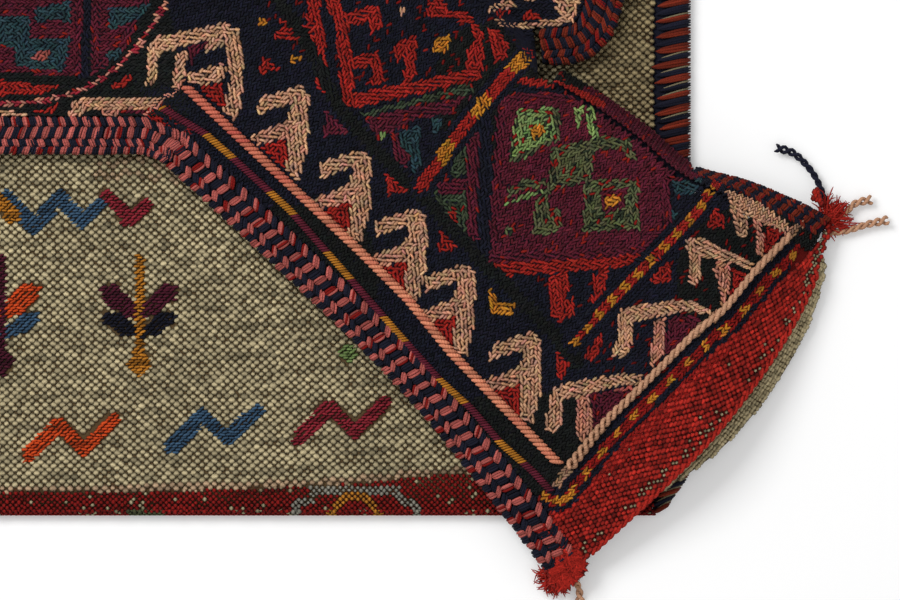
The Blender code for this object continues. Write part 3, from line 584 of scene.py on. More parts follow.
def wool_material(name, drift_amount, ply=False):
    """Matt wool. Its colour is the attribute that the mesh carries, and ply adds the slanting grooves of a
    twisted yarn from the yarn's own UV map."""
    material = bpy.data.materials.new(name)
    material.use_nodes = True
    nodes = material.node_tree.nodes
    links = material.node_tree.links
    shader = nodes["Principled BSDF"]
    shader.inputs["Roughness"].default_value = 0.88
    shader.inputs["Specular IOR Level"].default_value = 0.1
    shader.inputs["Sheen Weight"].default_value = 0.015
    shader.inputs["Sheen Roughness"].default_value = 0.6
    place = nodes.new("ShaderNodeTexCoord")
    wool = nodes.new("ShaderNodeGroup")
    wool.node_tree = wool_group
    wool.inputs["Drift"].default_value = drift_amount
    links.new(place.outputs["Object"], wool.inputs["Place"])
    carried = nodes.new("ShaderNodeAttribute")
    carried.attribute_name = "wool"
    links.new(carried.outputs["Color"], wool.inputs["Colour"])
    links.new(wool.outputs["Colour"], shader.inputs["Base Color"])
    relief = nodes.new("ShaderNodeBump")
    relief.inputs["Distance"].default_value = FIBRE_RELIEF
    relief.inputs["Strength"].default_value = 0.7
    height = wool.outputs["Height"]
    if ply:
        yarn = nodes.new("ShaderNodeUVMap")
        yarn.uv_map = "yarn"
        twist = nodes.new("ShaderNodeTexWave")
        twist.bands_direction = "DIAGONAL"
        twist.inputs["Scale"].default_value = TWIST_SCALE
        twist.inputs["Distortion"].default_value = 0.6
        stretch = nodes.new("ShaderNodeVectorMath")
        stretch.operation = "MULTIPLY"
        stretch.inputs[1].default_value = TWIST_STRETCH
        links.new(yarn.outputs[0], stretch.inputs[0])
        links.new(stretch.outputs[0], twist.inputs["Vector"])
        both = nodes.new("ShaderNodeMath")
        both.operation = "ADD"
        links.new(twist.outputs["Fac"], both.inputs[0])
        links.new(height, both.inputs[1])
        height = both.outputs[0]
    links.new(height, relief.inputs["Height"])
    links.new(relief.outputs["Normal"], shader.inputs["Normal"])
    return material


soumak_wool = wool_material("soumak_wool", 0.5)
back_wool = wool_material("undyed_back_wool", 0.5)
yarn_wool = wool_material("plied_yarn", 0.35, ply=True)
print("materials", len(bpy.data.materials))

# %% [markdown]
# ## The dyes
#
# The colours are those of plant and indigo dyed wool: madder reds, indigo blue that is nearly black, undyed
# cream and beige, and small amounts of green, ochre and plum. They are written as linear values, a little
# lighter than they look, because half of each stitch lies in its own shade.

# %% Dyes


def dye(code):
    """Linear colour from a six digit colour code: the usual screen curve is undone for each channel."""
    value = np.array([int(code[i:i + 2], 16) for i in (0, 2, 4)]) / 255.0
    return np.where(value <= 0.04045, value / 12.92, ((value + 0.055) / 1.055)**2.4)


BEIGE = dye("c1b28c")
TAUPE = dye("9f8e69")
PINK = dye("ac5750")
RUST = dye("732818")
NAVY = dye("181927")
BLACK = dye("191b1a")
CREAM = dye("cf9d7c")
PEACH = dye("cd8a72")
RED = dye("9f251e")
DEEP_RED = dye("8b1915")
MOUTH_RED = dye("b52a20")
PLUM = dye("5e1d2d")
MAROON = dye("521a2c")
OLIVE = dye("5f6342")
GREEN = dye("7f985a")
GREENDARK = dye("404c38")
TEAL = dye("2c454b")
BLUE = dye("405d78")
OCHRE = dye("c27e28")
ORANGE = dye("d84f20")
CRIMSON = dye("952a36")
print("dyes ready")

# %% [markdown]
# ## The ground cloth
#
# Below the stitches lies the cloth itself. It is built as one folded middle surface: four layers that share
# the fold line, and half round turns at the fold and at the bottom hem. Solidify gives it its thickness to
# both sides. The under layer is longer at the mouth, so its beige back shows there as a lip.

# %% Outlines of the layers


def inner_edge(outer, start_inner, margin):
    """Inner side of a seam that starts at a given point and settles to an even width."""
    inner = outer + side_normals(outer) * margin
    share = smoothstep(arc_lengths(outer) / SEAM_SETTLE)[:, None]
    return (outer + (np.array(start_inner) - outer[0])) * (1.0 - share) + inner * share


def fold_point(x):
    """The point of the fold line at a given x."""
    return np.array([x, np.interp(x, FOLD[:, 0], FOLD[:, 1])])


def turned_tilt(x):
    """How far the right seam of the neck is turned down; it lies flat at the mouth."""
    return TURNED_TILT * smoothstep((CREST[0][0] - x) / TURNED_REACH)


def left_side_outline(step):
    """Outer line of the left seam from the fold over the folded corner to the neck."""
    side = np.array([FOLD_LINE[0], FOLDED_CORNER, tuple(NECK_LEFT[0])])
    return resampled(side, int(arc_lengths(side)[-1] / step) + 1)


MARGIN = BRAID_WIDTH + SEAM_GAP
LIMIT = BODY_WIDTH / 2 - MARGIN
fold = np.vstack([fold_point(-LIMIT), FOLD[np.abs(FOLD[:, 0]) < LIMIT - CORNER_GAP], fold_point(LIMIT)])
hem = BODY_BOTTOM + STACK / 2
bottom = resampled(((-LIMIT, hem), (LIMIT, hem)), 60)
left_edge = inner_edge(left_side_outline(6.0), fold[0], MARGIN)[1:-1]
neck_edge = NECK_LEFT + side_normals(NECK_LEFT) * MARGIN
up_neck = neck_edge[0] - neck_edge[1]
corner = neck_edge[0] + up_neck * (left_edge[-1][1] - neck_edge[0][1]) / up_neck[1]
crest_reach = BRAID_WIDTH * np.cos(turned_tilt(CREST_LINE[:, 0])) + SEAM_GAP
crest_edge = CREST_LINE + side_normals(CREST_LINE) * (
    crest_reach + STACK / 2 * np.sin(turned_tilt(CREST_LINE[:, 0])))[:, None]
lobe_edge = inner_edge(LOBE_EDGE, fold[-1], -MARGIN)[1:][::-1]
lobe_edge = lobe_edge[lobe_edge[:, 0] > STEP_TOP[0] + CORNER_GAP]
mouth_front = MOUTH[5:-5]
lip_share = np.clip((np.linspace(0.0, NECK_WIDTH, len(MOUTH))[5:-5] - MOUTH_LIP_SPAN[0])
                    / (MOUTH_LIP_SPAN[1] - MOUTH_LIP_SPAN[0]), 0.0, 1.0)
mouth_back = mouth_front - side_normals(mouth_front) * (MOUTH_LIP * np.sin(math.pi * lip_share))[:, None]
lower_outline = np.vstack([bottom, fold[::-1]])


def upper_outline(mouth_edge):
    """Outline of a folded over layer that ends at the given mouth edge."""
    around = np.vstack([left_edge, corner, neck_edge, mouth_edge, crest_edge[2:], [STEP_TOP], lobe_edge])
    around = resampled(around, int(arc_lengths(around)[-1] / 3.0))
    return np.vstack([fold[:1], around, fold[:0:-1]])


front_outline = upper_outline(mouth_front)
back_outline = upper_outline(mouth_back)
print("outline of the folded over part:", len(front_outline), "points")

# %% [markdown]
# ## The ground as one mesh
#
# Each layer is an outline filled with triangles over a grid of inner points, which are then lifted to their
# height. The layers share the points of the fold line, so that joining equal points gives one folded sheet.
# Its colour is painted shade between the stitches: navy under the soumak, which is also the soumak's own
# ground, and dark brown under the plain weave.

# %% Ground mesh
FLAT_GRID, UNDER_GRID, TOP_GRID = 12.0, 6.0, 3.0
RED_GROUND_REACH = 22.0
SAME_POINT = 2e-6
ground_verts = []
ground_faces = []
ground_dyes = []
front_level = CLOTH / 2
front_top = FOLD_TOP + CLOTH + SEAT_GAP


def ground_layer(outline, height, spacing, wool):
    """Fill an outline with triangles over a grid of inner points, at the height that a function gives."""
    low, high = outline.min(axis=0), outline.max(axis=0)
    grid_x, grid_y = np.meshgrid(np.arange(low[0], high[0], spacing), np.arange(low[1], high[1], spacing))
    grid_x, grid_y = grid_x.ravel(), grid_y.ravel()
    keep = inside_outline(grid_x, grid_y, outline)
    keep &= nearest(grid_x, grid_y, np.vstack([outline, outline[:1]]))[0] > spacing * 0.4
    points = np.vstack([outline, np.column_stack([grid_x[keep], grid_y[keep]])])
    ring = list(range(len(outline)))
    filled = delaunay_2d_cdt([Vector(point) for point in points], [], [ring], 1, 1e-6)
    places = np.array([tuple(point) for point in filled[0]])
    base = sum(len(block) for block in ground_verts)
    ground_verts.append(np.column_stack([places, height(places[:, 0], places[:, 1])]))
    ground_faces.append(np.array([tuple(face) for face in filled[2]]) + base)
    ground_dyes.append(np.tile(wool, (len(places), 1)))


def ground_turn(line, low, high, steps, wool):
    """The half round strip that joins two layers along a line."""
    angle = np.linspace(0.0, math.pi, steps + 1)
    radius = (high - low) / 2.0
    normals = side_normals(line)
    places = line[None, :, :] + normals[None, :, :] * (radius * np.sin(angle))[:, None, None]
    heights = np.broadcast_to(((low + high) / 2.0 - radius * np.cos(angle))[:, None], places.shape[:2])
    base = sum(len(block) for block in ground_verts)
    count = len(line)
    start = (np.arange(steps) * count)[:, None] + np.arange(count - 1)[None, :] + base
    quads = np.stack([start, start + 1, start + count + 1, start + count], axis=-1).reshape(-1, 4)
    ground_verts.append(np.concatenate([places, heights[..., None]], axis=-1).reshape(-1, 3))
    ground_faces.append(quads)
    ground_dyes.append(np.tile(wool, (places.shape[0] * count, 1)))


def exactly_at_fold(height, at_fold):
    """The same heights, with one value on the fold line itself."""
    def at(x, y):
        return np.where(nearest(x, y, fold)[0] < 1e-3, at_fold, height(x, y))
    return at


# Painted shade: SHADED_BEIGE is the shade between the beads of the plain weave, not the wool's colour.
SHADED_BEIGE = dye("58462e")
ground_layer(lower_outline, lambda x, y: np.full(len(x), front_level), FLAT_GRID, NAVY)
ground_layer(lower_outline, lambda x, y: np.full(len(x), BACK_LOWER), FLAT_GRID, SHADED_BEIGE)
ground_layer(back_outline, exactly_at_fold(back_height, FOLD_TOP), UNDER_GRID, SHADED_BEIGE)
ground_layer(front_outline, exactly_at_fold(front_height, front_top), TOP_GRID, NAVY)
# Painted shade: near the mouth and round the hem the ground is a darkened red, the shade between red beads.
ground_dyes[-1][nearest(*ground_verts[-1][:, :2].T, MOUTH)[0] < RED_GROUND_REACH] = DEEP_RED * 0.35
ground_turn(bottom[::-1], BACK_LOWER, front_level, 6, DEEP_RED * 0.5)
ground_turn(fold, BACK_LOWER, FOLD_TOP, 8, SHADED_BEIGE)
ground_turn(fold, front_level, front_top, 12, NAVY)
cloth = make_piece("folded_cloth", np.vstack(ground_verts), ground_faces,
                   wool_material("ground_weave", 0.3), np.vstack(ground_dyes))
merge = bmesh.new()
merge.from_mesh(cloth.data)
bmesh.ops.remove_doubles(merge, verts=merge.verts, dist=SAME_POINT)
bmesh.ops.recalc_face_normals(merge, faces=merge.faces)
merge.to_mesh(cloth.data)
merge.free()
half_area = sum(face.area for face in cloth.data.polygons)
thicken = cloth.modifiers.new("thickness", "SOLIDIFY")
thicken.thickness = (CLOTH - 0.5) * MM
thicken.offset = 0.0
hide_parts("cloth")
print("cloth area", round(half_area, 3), "square metres")

# %% [markdown]
# ## The design of the front
#
# Such bags repeat a few old forms: hooked medallions in the field, a border of hooks on both sides, and thin
# guard lines of two colours between them. Here each form is an outline in picture units, painted in the order
# in which they cover each other. A stitch takes the colour of the form in which its middle lies.

# %% Outlines of the design
MEDALLION = (
    (PLUM, ((487, 252), (497, 109), (505, 97), (519, 93), (558, 94), (575, 96), (590, 84), (640, 116),
            (680, 148), (705, 178), (669, 183), (669, 230), (645, 252), (605, 258), (487, 263))),
    (GREEN, ((519, 110), (558, 109), (560, 117), (556, 144), (542, 150), (513, 164), (507, 163), (513, 126))),
    (OLIVE, ((553, 110), (560, 109), (559, 142), (542, 150), (526, 156), (510, 164), (507, 161), (529, 150),
            (554, 139))),
    (OCHRE, ((528, 129), (542, 125), (544, 136), (532, 142))),
    (GREEN, ((574, 109), (583, 109), (581, 123), (577, 128))),
    (GREEN, ((585, 109), (593, 110), (594, 125), (599, 129), (598, 139), (591, 141), (587, 129))),
    (OLIVE, ((550, 148), (589, 142), (597, 137), (628, 140), (635, 161), (626, 161), (621, 150), (594, 152),
            (591, 177), (586, 183), (562, 189), (545, 193), (549, 176))),
    (OLIVE, ((581, 188), (587, 180), (637, 180), (638, 230), (581, 233), (583, 209))),
    (PLUM, ((599, 193), (625, 188), (624, 209), (601, 215))),
    (OCHRE, ((602, 199), (620, 193), (619, 204), (604, 211))),
    (OLIVE, ((507, 190), (524, 180), (546, 180), (546, 186), (519, 193), (507, 198))),
    (GREEN, ((503, 203), (543, 188), (544, 194), (506, 205))),
    (OLIVE, ((536, 197), (549, 190), (550, 212), (558, 209), (562, 227), (555, 235), (532, 234))),
    (OLIVE, ((503, 228), (516, 223), (515, 231), (505, 239))),
    (RED, ((554, 219), (560, 217), (559, 227), (555, 227))),
    (TEAL, ((671, 182), (703, 180), (702, 196), (673, 195))),
    (TEAL, ((671, 213), (687, 211), (681, 223), (671, 225))),
)
FIELD = (
    (GREENDARK, ((434, 193), (468, 184), (468, 233), (462, 234), (439, 204))),
    (RED, ((447, 213), (457, 213), (455, 223), (450, 222))),
    (PLUM, ((469, 100), (480, 93), (480, 246), (475, 248), (464, 234))),
    (PLUM, ((468, 139), (487, 120), (483, 244), (469, 235), (468, 177))),
    (PLUM, ((436, 183), (468, 179), (468, 193), (440, 195))),
    (GREENDARK, ((448, 168), (467, 145), (467, 174), (454, 179))),
    (GREENDARK, ((440, 199), (467, 194), (467, 231), (462, 233))),
    (RED, ((448, 211), (457, 212), (454, 223), (449, 220))),
    (RED, ((436, 254), (441, 231), (456, 247))),
    (RED, ((492, 262), (660, 249), (660, 263), (550, 274), (505, 276), (494, 271))),
    (NAVY, ((480, 93), (489, 89), (485, 257), (477, 259))),
    (RED, ((549, 275), (567, 274), (568, 300), (574, 293), (574, 314), (560, 323), (548, 314))),
    (RED, ((593, 274), (609, 271), (601, 300), (591, 306))),
    (OCHRE, ((487, 289), (493, 286), (496, 300), (515, 305), (512, 314), (491, 315))),
    (RED, ((437, 254), (442, 234), (457, 247), (451, 252))),
    (RED, ((581, 361), (604, 325), (599, 352), (591, 359))),
    (RED, ((556, 380), (557, 352), (570, 364), (560, 380))),
    (RED, ((702, 227), (713, 209), (722, 215), (721, 229))),
    (RED, ((648, 282), (654, 265), (670, 261), (670, 280), (662, 284))),
    (PLUM, ((364, 119), (467, 97), (453, 114), (415, 121), (400, 131), (377, 136))),
    (PLUM, ((391, 133), (400, 133), (402, 148), (411, 156), (407, 170), (396, 160))),
    (TEAL, ((401, 131), (420, 127), (423, 165), (414, 173), (410, 155), (400, 146))),
    (TEAL, ((430, 131), (433, 121), (446, 119), (436, 134))),
    (GREEN, ((377, 141), (381, 134), (388, 133), (381, 142))),
    (GREENDARK, ((362, 114), (474, 84), (474, 94), (384, 113), (365, 119))),
    (RED, ((384, 170), (409, 191), (386, 197))),
    (PLUM, ((326, 112), (352, 133), (324, 138))),
    (RED, ((333, 0), (334, -86), (464, -90), (465, -76), (350, -69), (350, 0))),
    (NAVY, ((344, 0), (350, -67), (465, -74), (465, 0))),
    (RED, ((326, -2), (342, -2), (346, 17), (352, 52), (355, 86), (353, 112), (343, 104), (336, 34))),
    (RED, ((353, 94), (415, 83), (482, 69), (482, 81), (457, 86), (353, 109))),
    (RED, ((467, 15), (482, 34), (485, 52), (482, 78), (464, 73), (467, 52), (474, 41))),
    (RED, ((427, 5), (438, 1), (448, 7), (450, 12), (467, 15), (474, 25), (464, 24), (433, 18), (427, 24))),
    (RED, ((346, 15), (380, 6), (383, 28), (371, 35), (369, 22), (349, 29))),
    (RED, ((352, 58), (378, 53), (385, 84), (373, 88), (371, 67), (353, 71))),
    (RED, ((395, 46), (418, 36), (416, 81), (405, 83), (403, 59), (396, 66))),
    (OCHRE, ((432, 56), (433, 46), (437, 40), (451, 37), (452, 43), (445, 54))),
    (CREAM, ((397, 19), (401, 10), (408, 8), (403, 19))),
    (RED, ((301, -34), (318, -34), (324, 31), (331, 76), (335, 86), (333, 99), (324, 94), (317, 87),
           (313, 42), (274, 42), (276, 32), (309, 24))),
    (RED, ((281, 23), (289, 12), (293, 15), (287, 25))),
    (RED, ((259, 77), (263, 59), (270, 59), (280, 70))),
    (OCHRE, ((291, 61), (299, 53), (302, 60), (295, 65))),
    (OCHRE, ((259, 26), (260, 19), (266, 17), (267, 26))),
    (RED, ((486, 28), (500, 35), (509, 46), (507, 59), (493, 65))),
)
MOUTH_HOOKS = (
    (CREAM, ((550, 398), (552, 390), (560, 383), (626, 373), (642, 376), (639, 385), (626, 384), (577, 397),
            (564, 399), (560, 429), (552, 433), (543, 430))),
    (PEACH, ((576, 397), (589, 393), (592, 425), (584, 441), (579, 442), (575, 425))),
    (PLUM, ((590, 393), (622, 387), (632, 391), (627, 401), (593, 430))),
    (PINK, ((607, 389), (631, 385), (632, 390), (626, 392))),
    (CREAM, ((616, 317), (622, 307), (683, 299), (711, 310), (708, 316), (691, 311), (671, 314), (632, 321),
            (630, 350), (624, 356), (611, 356), (617, 335))),
    (PEACH, ((651, 321), (665, 318), (663, 356), (651, 366), (648, 360), (652, 335))),
    (PLUM, ((666, 320), (683, 313), (698, 321), (691, 331), (671, 352), (664, 352))),
    (CREAM, ((684, 241), (691, 238), (709, 241), (752, 264), (750, 270), (734, 262), (722, 261), (700, 257),
            (697, 284), (691, 287), (686, 278), (687, 260))),
    (PEACH, ((713, 262), (728, 263), (728, 294), (720, 305), (718, 290), (712, 270))),
    (RED, ((730, 268), (747, 274), (744, 283), (730, 299))),
    (CREAM, ((723, 192), (732, 193), (758, 202), (790, 227), (786, 240), (775, 229), (746, 218), (744, 238),
            (736, 236), (731, 219))),
    (PEACH, ((750, 216), (757, 218), (762, 239), (760, 260), (755, 256), (754, 239))),
    (RED, ((764, 227), (780, 233), (775, 246), (762, 252))),
)
SHOULDER = (
    (PLUM, ((-143, -80), (87, -80), (86, 0), (83, 78), (0, 73), (-143, 70))),
    (PLUM, ((94, -80), (159, -80), (150, 0), (131, 45), (112, 69), (92, 78))),
    (NAVY, ((87, -80), (94, -80), (94, 0), (89, 80), (81, 80), (86, 0))),
    (TEAL, ((0, 19), (32, 18), (31, 39), (72, 38), (66, 73), (16, 67), (18, 48), (0, 46))),
    (TEAL, ((37, 10), (73, 2), (72, 24), (56, 20), (37, 25))),
    (TEAL, ((110, 10), (151, 6), (144, 19), (112, 31))),
    (TEAL, ((108, 53), (125, 46), (121, 59), (110, 62))),
    (PINK, ((32, 59), (38, 53), (53, 51), (50, 59), (40, 63))),
    (RED, ((0, 81), (61, 87), (48, 94), (19, 96), (0, 101))),
    (RED, ((112, 86), (133, 73), (133, 83), (124, 90), (112, 90))),
    (RED, ((33, 110), (62, 104), (53, 114), (41, 114))),
    (CREAM, ((147, 86), (148, 49), (154, 39), (226, 24), (242, 32), (245, 80), (241, 115), (234, 121),
             (224, 112), (230, 80), (227, 45), (207, 53), (206, 48), (213, 41), (188, 46), (167, 53),
             (160, 55), (159, 77), (153, 86))),
    (CREAM, ((179, 54), (190, 49), (187, 77), (180, 90), (173, 88), (175, 69))),
    (CREAM, ((188, 75), (223, 64), (228, 69), (224, 82), (198, 88), (188, 82))),
    (RED, ((199, 89), (224, 82), (227, 110), (217, 104))),
    (PLUM, ((191, 47), (212, 42), (196, 57), (190, 69))),
    (CREAM, ((69, 117), (75, 97), (163, 97), (165, 102), (153, 112), (112, 110), (90, 110), (80, 119))),
    (PEACH, ((101, 120), (104, 112), (122, 110), (118, 118))),
    (PLUM, ((121, 112), (149, 110), (142, 115), (128, 115))),
    (CREAM, ((-143, 105), (0, 107), (19, 114), (69, 121), (69, 125), (24, 123), (0, 114), (-143, 112))),
)
# One hook of the border with its foot and the fill below it, round its own middle, and the hooks' middles
HOOK = ((-42, -20), (-41, -36), (1, -49), (10, -39), (9, 10), (0, 46), (-14, 37), (-11, 4), (-42, 11),
        (-50, 1), (-12, -14), (-10, -30))
HOOK_FOOT = ((-50, 1), (-12, -9), (-11, 4), (-42, 11))
HOOK_FILL = ((-41, 12), (-11, 4), (-14, 37))
HOOKS = ((300, 135), (362, 199), (418, 257), (466, 312), (532, 380))
DARK_LINE = ((250, -40), (300, 30), (340, 108), (385, 160), (426, 200), (480, 259), (541, 321), (578, 363))
MOUTH_LINE = ((800, 222), (789, 235), (754, 270), (722, 309), (695, 331), (666, 360), (650, 376),
              (626, 400), (603, 423), (566, 470), (556, 484))
CROSS_BANDS = (((716, 182), (697, 209), (672, 238), (640, 270), (604, 309), (574, 342)),
               ((534, 48), (515, 69), (482, 105), (455, 140), (422, 186)))
ROPE = ((186, 87), (239, 137), (304, 198), (359, 250), (408, 299), (450, 351), (500, 403), (561, 466))
DASHES = ((162, 108), (207, 135), (231, 156), (290, 210), (343, 270), (397, 332), (440, 380),
          (471, 408), (501, 443), (533, 471), (552, 492))
SHOULDER_DASHES = ((178, -40), (169, 3), (153, 27), (139, 48), (118, 69), (89, 89), (67, 96),
                   (45, 102), (0, 105), (-150, 105))
SHOULDER_ROPE = ((188, 82), (165, 100), (143, 119))
CREASE = ((188, 88), (180, 50), (170, 10), (160, -30), (150, -90))
LOBE_LINE = ((470, 24), (530, 27), (562, 22), (582, -5), (600, -40), (620, -90))
LOBE_SIDE = ((556, 76), (540, 58), (516, 40), (490, 20), (470, -5), (440, -90))
LOBE_FORMS = (
    (CREAM, ((476, 20), (491, 5), (513, 1), (515, 9), (492, 14), (484, 21))),
    (RED, ((494, 23), (498, 10), (512, 12))),
    (CREAM, ((552, 0), (560, -6), (578, 4), (572, 24), (562, 22))),
    (RED, ((522, 21), (528, 7), (541, 20))),
    (CREAM, ((520, -4), (545, -12), (548, -4), (524, 4))),
)
LOBE_REPEATS = (0, -48, -96)
print("hooks", len(HOOKS), "medallion forms", len(MEDALLION))

# %% [markdown]
# ## Painting a form
#
# A form gives its dye to the stitches inside its outline and notes that they belong to it, so that some can
# stand higher. It also turns their rows. A weaver goes round each form with rows that follow its edge, so the
# stitches near an outline keep its direction and the number of their lane, counted from the edge.

# %% Painting a form


def paint(colour, mask, wool):
    """Give the stitches in the mask one dye."""
    colour[mask] = wool


# Both in picture units, from an outline inwards
FLOW_REACH = 9.0
FLOW_LANE = 3.0


def paint_forms(colour, kind, x, y, forms, number, shift=(0, 0), flow=None):
    """Paint outlines one over the other and note which stitches belong to them. Near an outline the rows run
    along it, as the weaver outlines each form: flow keeps that direction and the lane, counted from the edge,
    in which a stitch lies."""
    for wool, outline in forms:
        mask = inside_outline(x - shift[0], y - shift[1], outline)
        colour[mask] = wool
        kind[mask] = number
        if flow is None or not mask.any():
            continue
        closed = np.array(outline + outline[:1], dtype=float) + shift
        gap, along = nearest(x[mask], y[mask], closed)
        edge = np.clip(np.searchsorted(arc_lengths(closed), along) - 1, 0, len(outline) - 1)
        step = unit(np.diff(closed, axis=0))[edge] * (1.0, -1.0)
        rows = np.column_stack([step, gap // FLOW_LANE])
        rows[gap > FLOW_REACH] = 0.0
        flow[mask] = rows


def paint_line(colour, x, y, line, width, wool, second=None, period=1.0, share=0.5, start=0.0):
    """Paint a line of a given width, with dashes of a second dye where one is given."""
    gap, along = nearest(x, y, line)
    mask = gap < width / 2
    colour[mask] = wool
    if second is not None:
        colour[mask & ((along - start) % period < period * share)] = second
    return mask


NECK_BORDER = 66.0
STRAY_RED = DEEP_RED * 0.6


def neck_design(x, y, across, along):
    """Dyes of the neck: x and y in picture units, across and along in the neck's own frame."""
    colour = np.tile(NAVY, (len(x), 1))
    kind = np.zeros(len(x), dtype=int)
    flow = np.zeros((len(x), 3))
    colour[np.sin(x * 0.013 + 1.0) * np.sin(y * 0.017) > 0.35] = BLACK
    stray = rng.random(len(x))
    field = across > 70.0
    colour[(stray < 0.09) & field] = STRAY_RED
    paint_forms(colour, kind, x, y, FIELD, 2, flow=flow)
    paint_forms(colour, kind, x, y, MEDALLION, 2, flow=flow)
    paint_line(colour, x, y, ((488, 86), (486, 262)), 8, NAVY)
    paint_line(colour, x, y, ((497, 91), (552, 91), (566, 96)), 6, NAVY)
    paint_line(colour, x, y, ((515, 82), (545, 84), (575, 94), (600, 106)), 8, RED)
    paint_line(colour, x, y, DARK_LINE, 13, BLACK)
    for line, period, share, start in ((CROSS_BANDS[0], 18.3, 0.42, 8.0), (CROSS_BANDS[1], 57.0, 0.4, 12.0)):
        paint_line(colour, x, y, line, 24, NAVY)
        paint_line(colour, x, y, line, 9 if period < 20 else 13, RED, OCHRE, period, share, start)
    colour[(across < NECK_BORDER) & (colour == STRAY_RED).all(axis=1)] = NAVY
    for place in HOOKS:
        forms = ((CREAM, HOOK), ((CREAM + PEACH) / 2, HOOK_FOOT), (RED, HOOK_FILL))
        paint_forms(colour, kind, x, y, forms, 1, place, flow)
    paint_forms(colour, kind, x, y, MOUTH_HOOKS, 1, flow=flow)
    paint_forms(colour, kind, x, y, SHOULDER[11:16], 1, flow=flow)
    gap, run = nearest(x, y, MOUTH_LINE)
    outer = along < 34.0
    paint(colour, outer, DEEP_RED)
    paint(colour, outer & (gap < 26), NAVY)
    paint(colour, outer & (gap < 21) & (gap > 11), DEEP_RED)
    paint(colour, outer & (gap < 20) & (gap > 13) & (run % 25.0 < 10.0), OCHRE)
    paint(colour, gap < 4.0, CREAM * 0.6)
    kind[gap < 4.0] = 3
    return colour, kind, flow


def shoulder_design(x, y):
    """Dyes of the left shoulder. Beyond the picture's left edge its forms go on as mirrored repeats."""
    x = np.where(x < 0.0, 180.0 - np.abs(np.abs(x) % 360.0 - 180.0), x)
    colour = np.tile(BLACK, (len(x), 1))
    kind = np.zeros(len(x), dtype=int)
    flow = np.zeros((len(x), 3))
    paint_forms(colour, kind, x, y, SHOULDER, 1, flow=flow)
    kind[(kind == 1) & (colour != CREAM).any(axis=1)] = 2
    above = y < -12
    paint_forms(colour, kind, x, np.where(above, -24 - y, y), SHOULDER[:11], 2, flow=flow)
    paint_line(colour, x, y, SHOULDER_DASHES, 15, BLACK)
    paint_line(colour, x, y, SHOULDER_DASHES, 5.5, CRIMSON, PEACH, 15.0, 0.45)
    paint_line(colour, x, y, SHOULDER_ROPE, 5, PEACH)
    return colour, kind, flow


def lobe_design(x, y):
    """Dyes of the right shoulder's corner: a cream guard line, cream hooks and red fills on navy."""
    colour = np.tile(NAVY, (len(x), 1))
    kind = np.zeros(len(x), dtype=int)
    flow = np.zeros((len(x), 3))
    for step in LOBE_REPEATS:
        paint_forms(colour, kind, x, y, LOBE_FORMS, 1, (0, step), flow)
    paint_line(colour, x, y, LOBE_LINE, 7, CREAM)
    paint_line(colour, x, y, ((500, 46), (512, 56)), 9, RED)
    return colour, kind, flow


print("design ready")

# %% [markdown]
# ## Wrapped-weft stitches
#
# Rows of stitches run along the neck, parallel to its mouth. In each row the yarn slants one way and in the
# next row the other way, so that two rows look like a plait. Each stitch gets its place on the surface and
# its direction from the neck's map. Near the outline of a form its row follows the outline instead. Every
# stitch also gets a little of the irregularity of hand work.

# %% Laying stitches on a surface
STITCH_PITCH = 2.15
ROW_PITCH = 1.32
SLANT = math.radians(26.0)
STITCH_SINK = 0.2


def staggered(across, rows, offset):
    """Places of a grid whose every other row is shifted sideways by the offset, and the number of each row."""
    x, y = np.meshgrid(across, rows)
    row = np.broadcast_to(np.arange(len(rows))[:, None], x.shape)
    return (x + (row % 2) * offset).ravel(), y.ravel(), row.ravel()


def surface_frame(x, y, direction, surface):
    """Points on a surface with three unit directions: along the row, across it, and up from the surface, from
    the slopes between points 0.2 mm apart."""
    step = 0.2
    z = surface(x, y)
    slope_x = (surface(x + step, y) - z) / step
    slope_y = (surface(x, y + step) - z) / step
    up = unit(np.column_stack([-slope_x, -slope_y, np.ones(len(x))]))
    along = unit(np.column_stack([direction, slope_x * direction[:, 0] + slope_y * direction[:, 1]]))
    return np.column_stack([x, y, z]), along, np.cross(up, along), up


def turned_by(along, across, angle):
    """Directions turned in the surface by an angle."""
    cosine, sine = np.cos(angle)[:, None], np.sin(angle)[:, None]
    return cosine * along + sine * across, cosine * across - sine * along


def lay_stitches(x, y, row, direction, surface, colour, raised, flow):
    """Everything that stitch_piece needs for wrapped-weft stitches at the given places."""
    count = len(x)
    outlined = np.abs(flow[:, :2]).sum(axis=1) > 0.5
    direction = np.where(outlined[:, None], flow[:, :2], direction)
    row = np.where(outlined, flow[:, 2], row)
    centre, along, across, up = surface_frame(x, y, direction, surface)
    slant = np.where(row % 2 == 0, SLANT, -SLANT) + rng.normal(0.0, 0.11, count)
    along, across = turned_by(along, across, slant)
    sizes = np.column_stack([rng.normal(1.85, 0.17, count), rng.normal(0.74, 0.07, count) + 0.06 * raised,
                             rng.normal(0.85, 0.1, count) + 0.3 * raised])
    centre = centre + across * rng.normal(0.0, 0.1, (count, 1)) + along * rng.normal(0.0, 0.2, (count, 1))
    return centre - up * STITCH_SINK, along, across, up, sizes, uneven_dye(colour)


def uneven_dye(colour):
    """Each stitch a little lighter or darker, with a few stitches of another wool, as in the old work."""
    count = len(colour)
    tone = rng.normal(1.0, 0.2, (count, 1)) * (1.0 + 0.07 * rng.normal(0.0, 1.0, (count, 3)))
    colour = colour * tone
    red, green, blue = colour.T
    greenish = (green > 0.04) & (green > 0.9 * red) & (green > 1.3 * blue)
    change = rng.random(count)
    colour[greenish & (change < 0.1)] = DEEP_RED
    colour[greenish & (change > 0.85)] = GREENDARK * 0.5
    reddish = (red > 3.0 * blue) & (red < 0.3)
    colour[reddish & (change < 0.05)] = RED * 0.8
    return np.clip(colour, 0.0, 1.0)


def crossing_x(line, y):
    """Where a line drawn in picture units has the given y: its x there."""
    line = np.array(line)
    return np.interp(-y, -line[:, 1], line[:, 0])


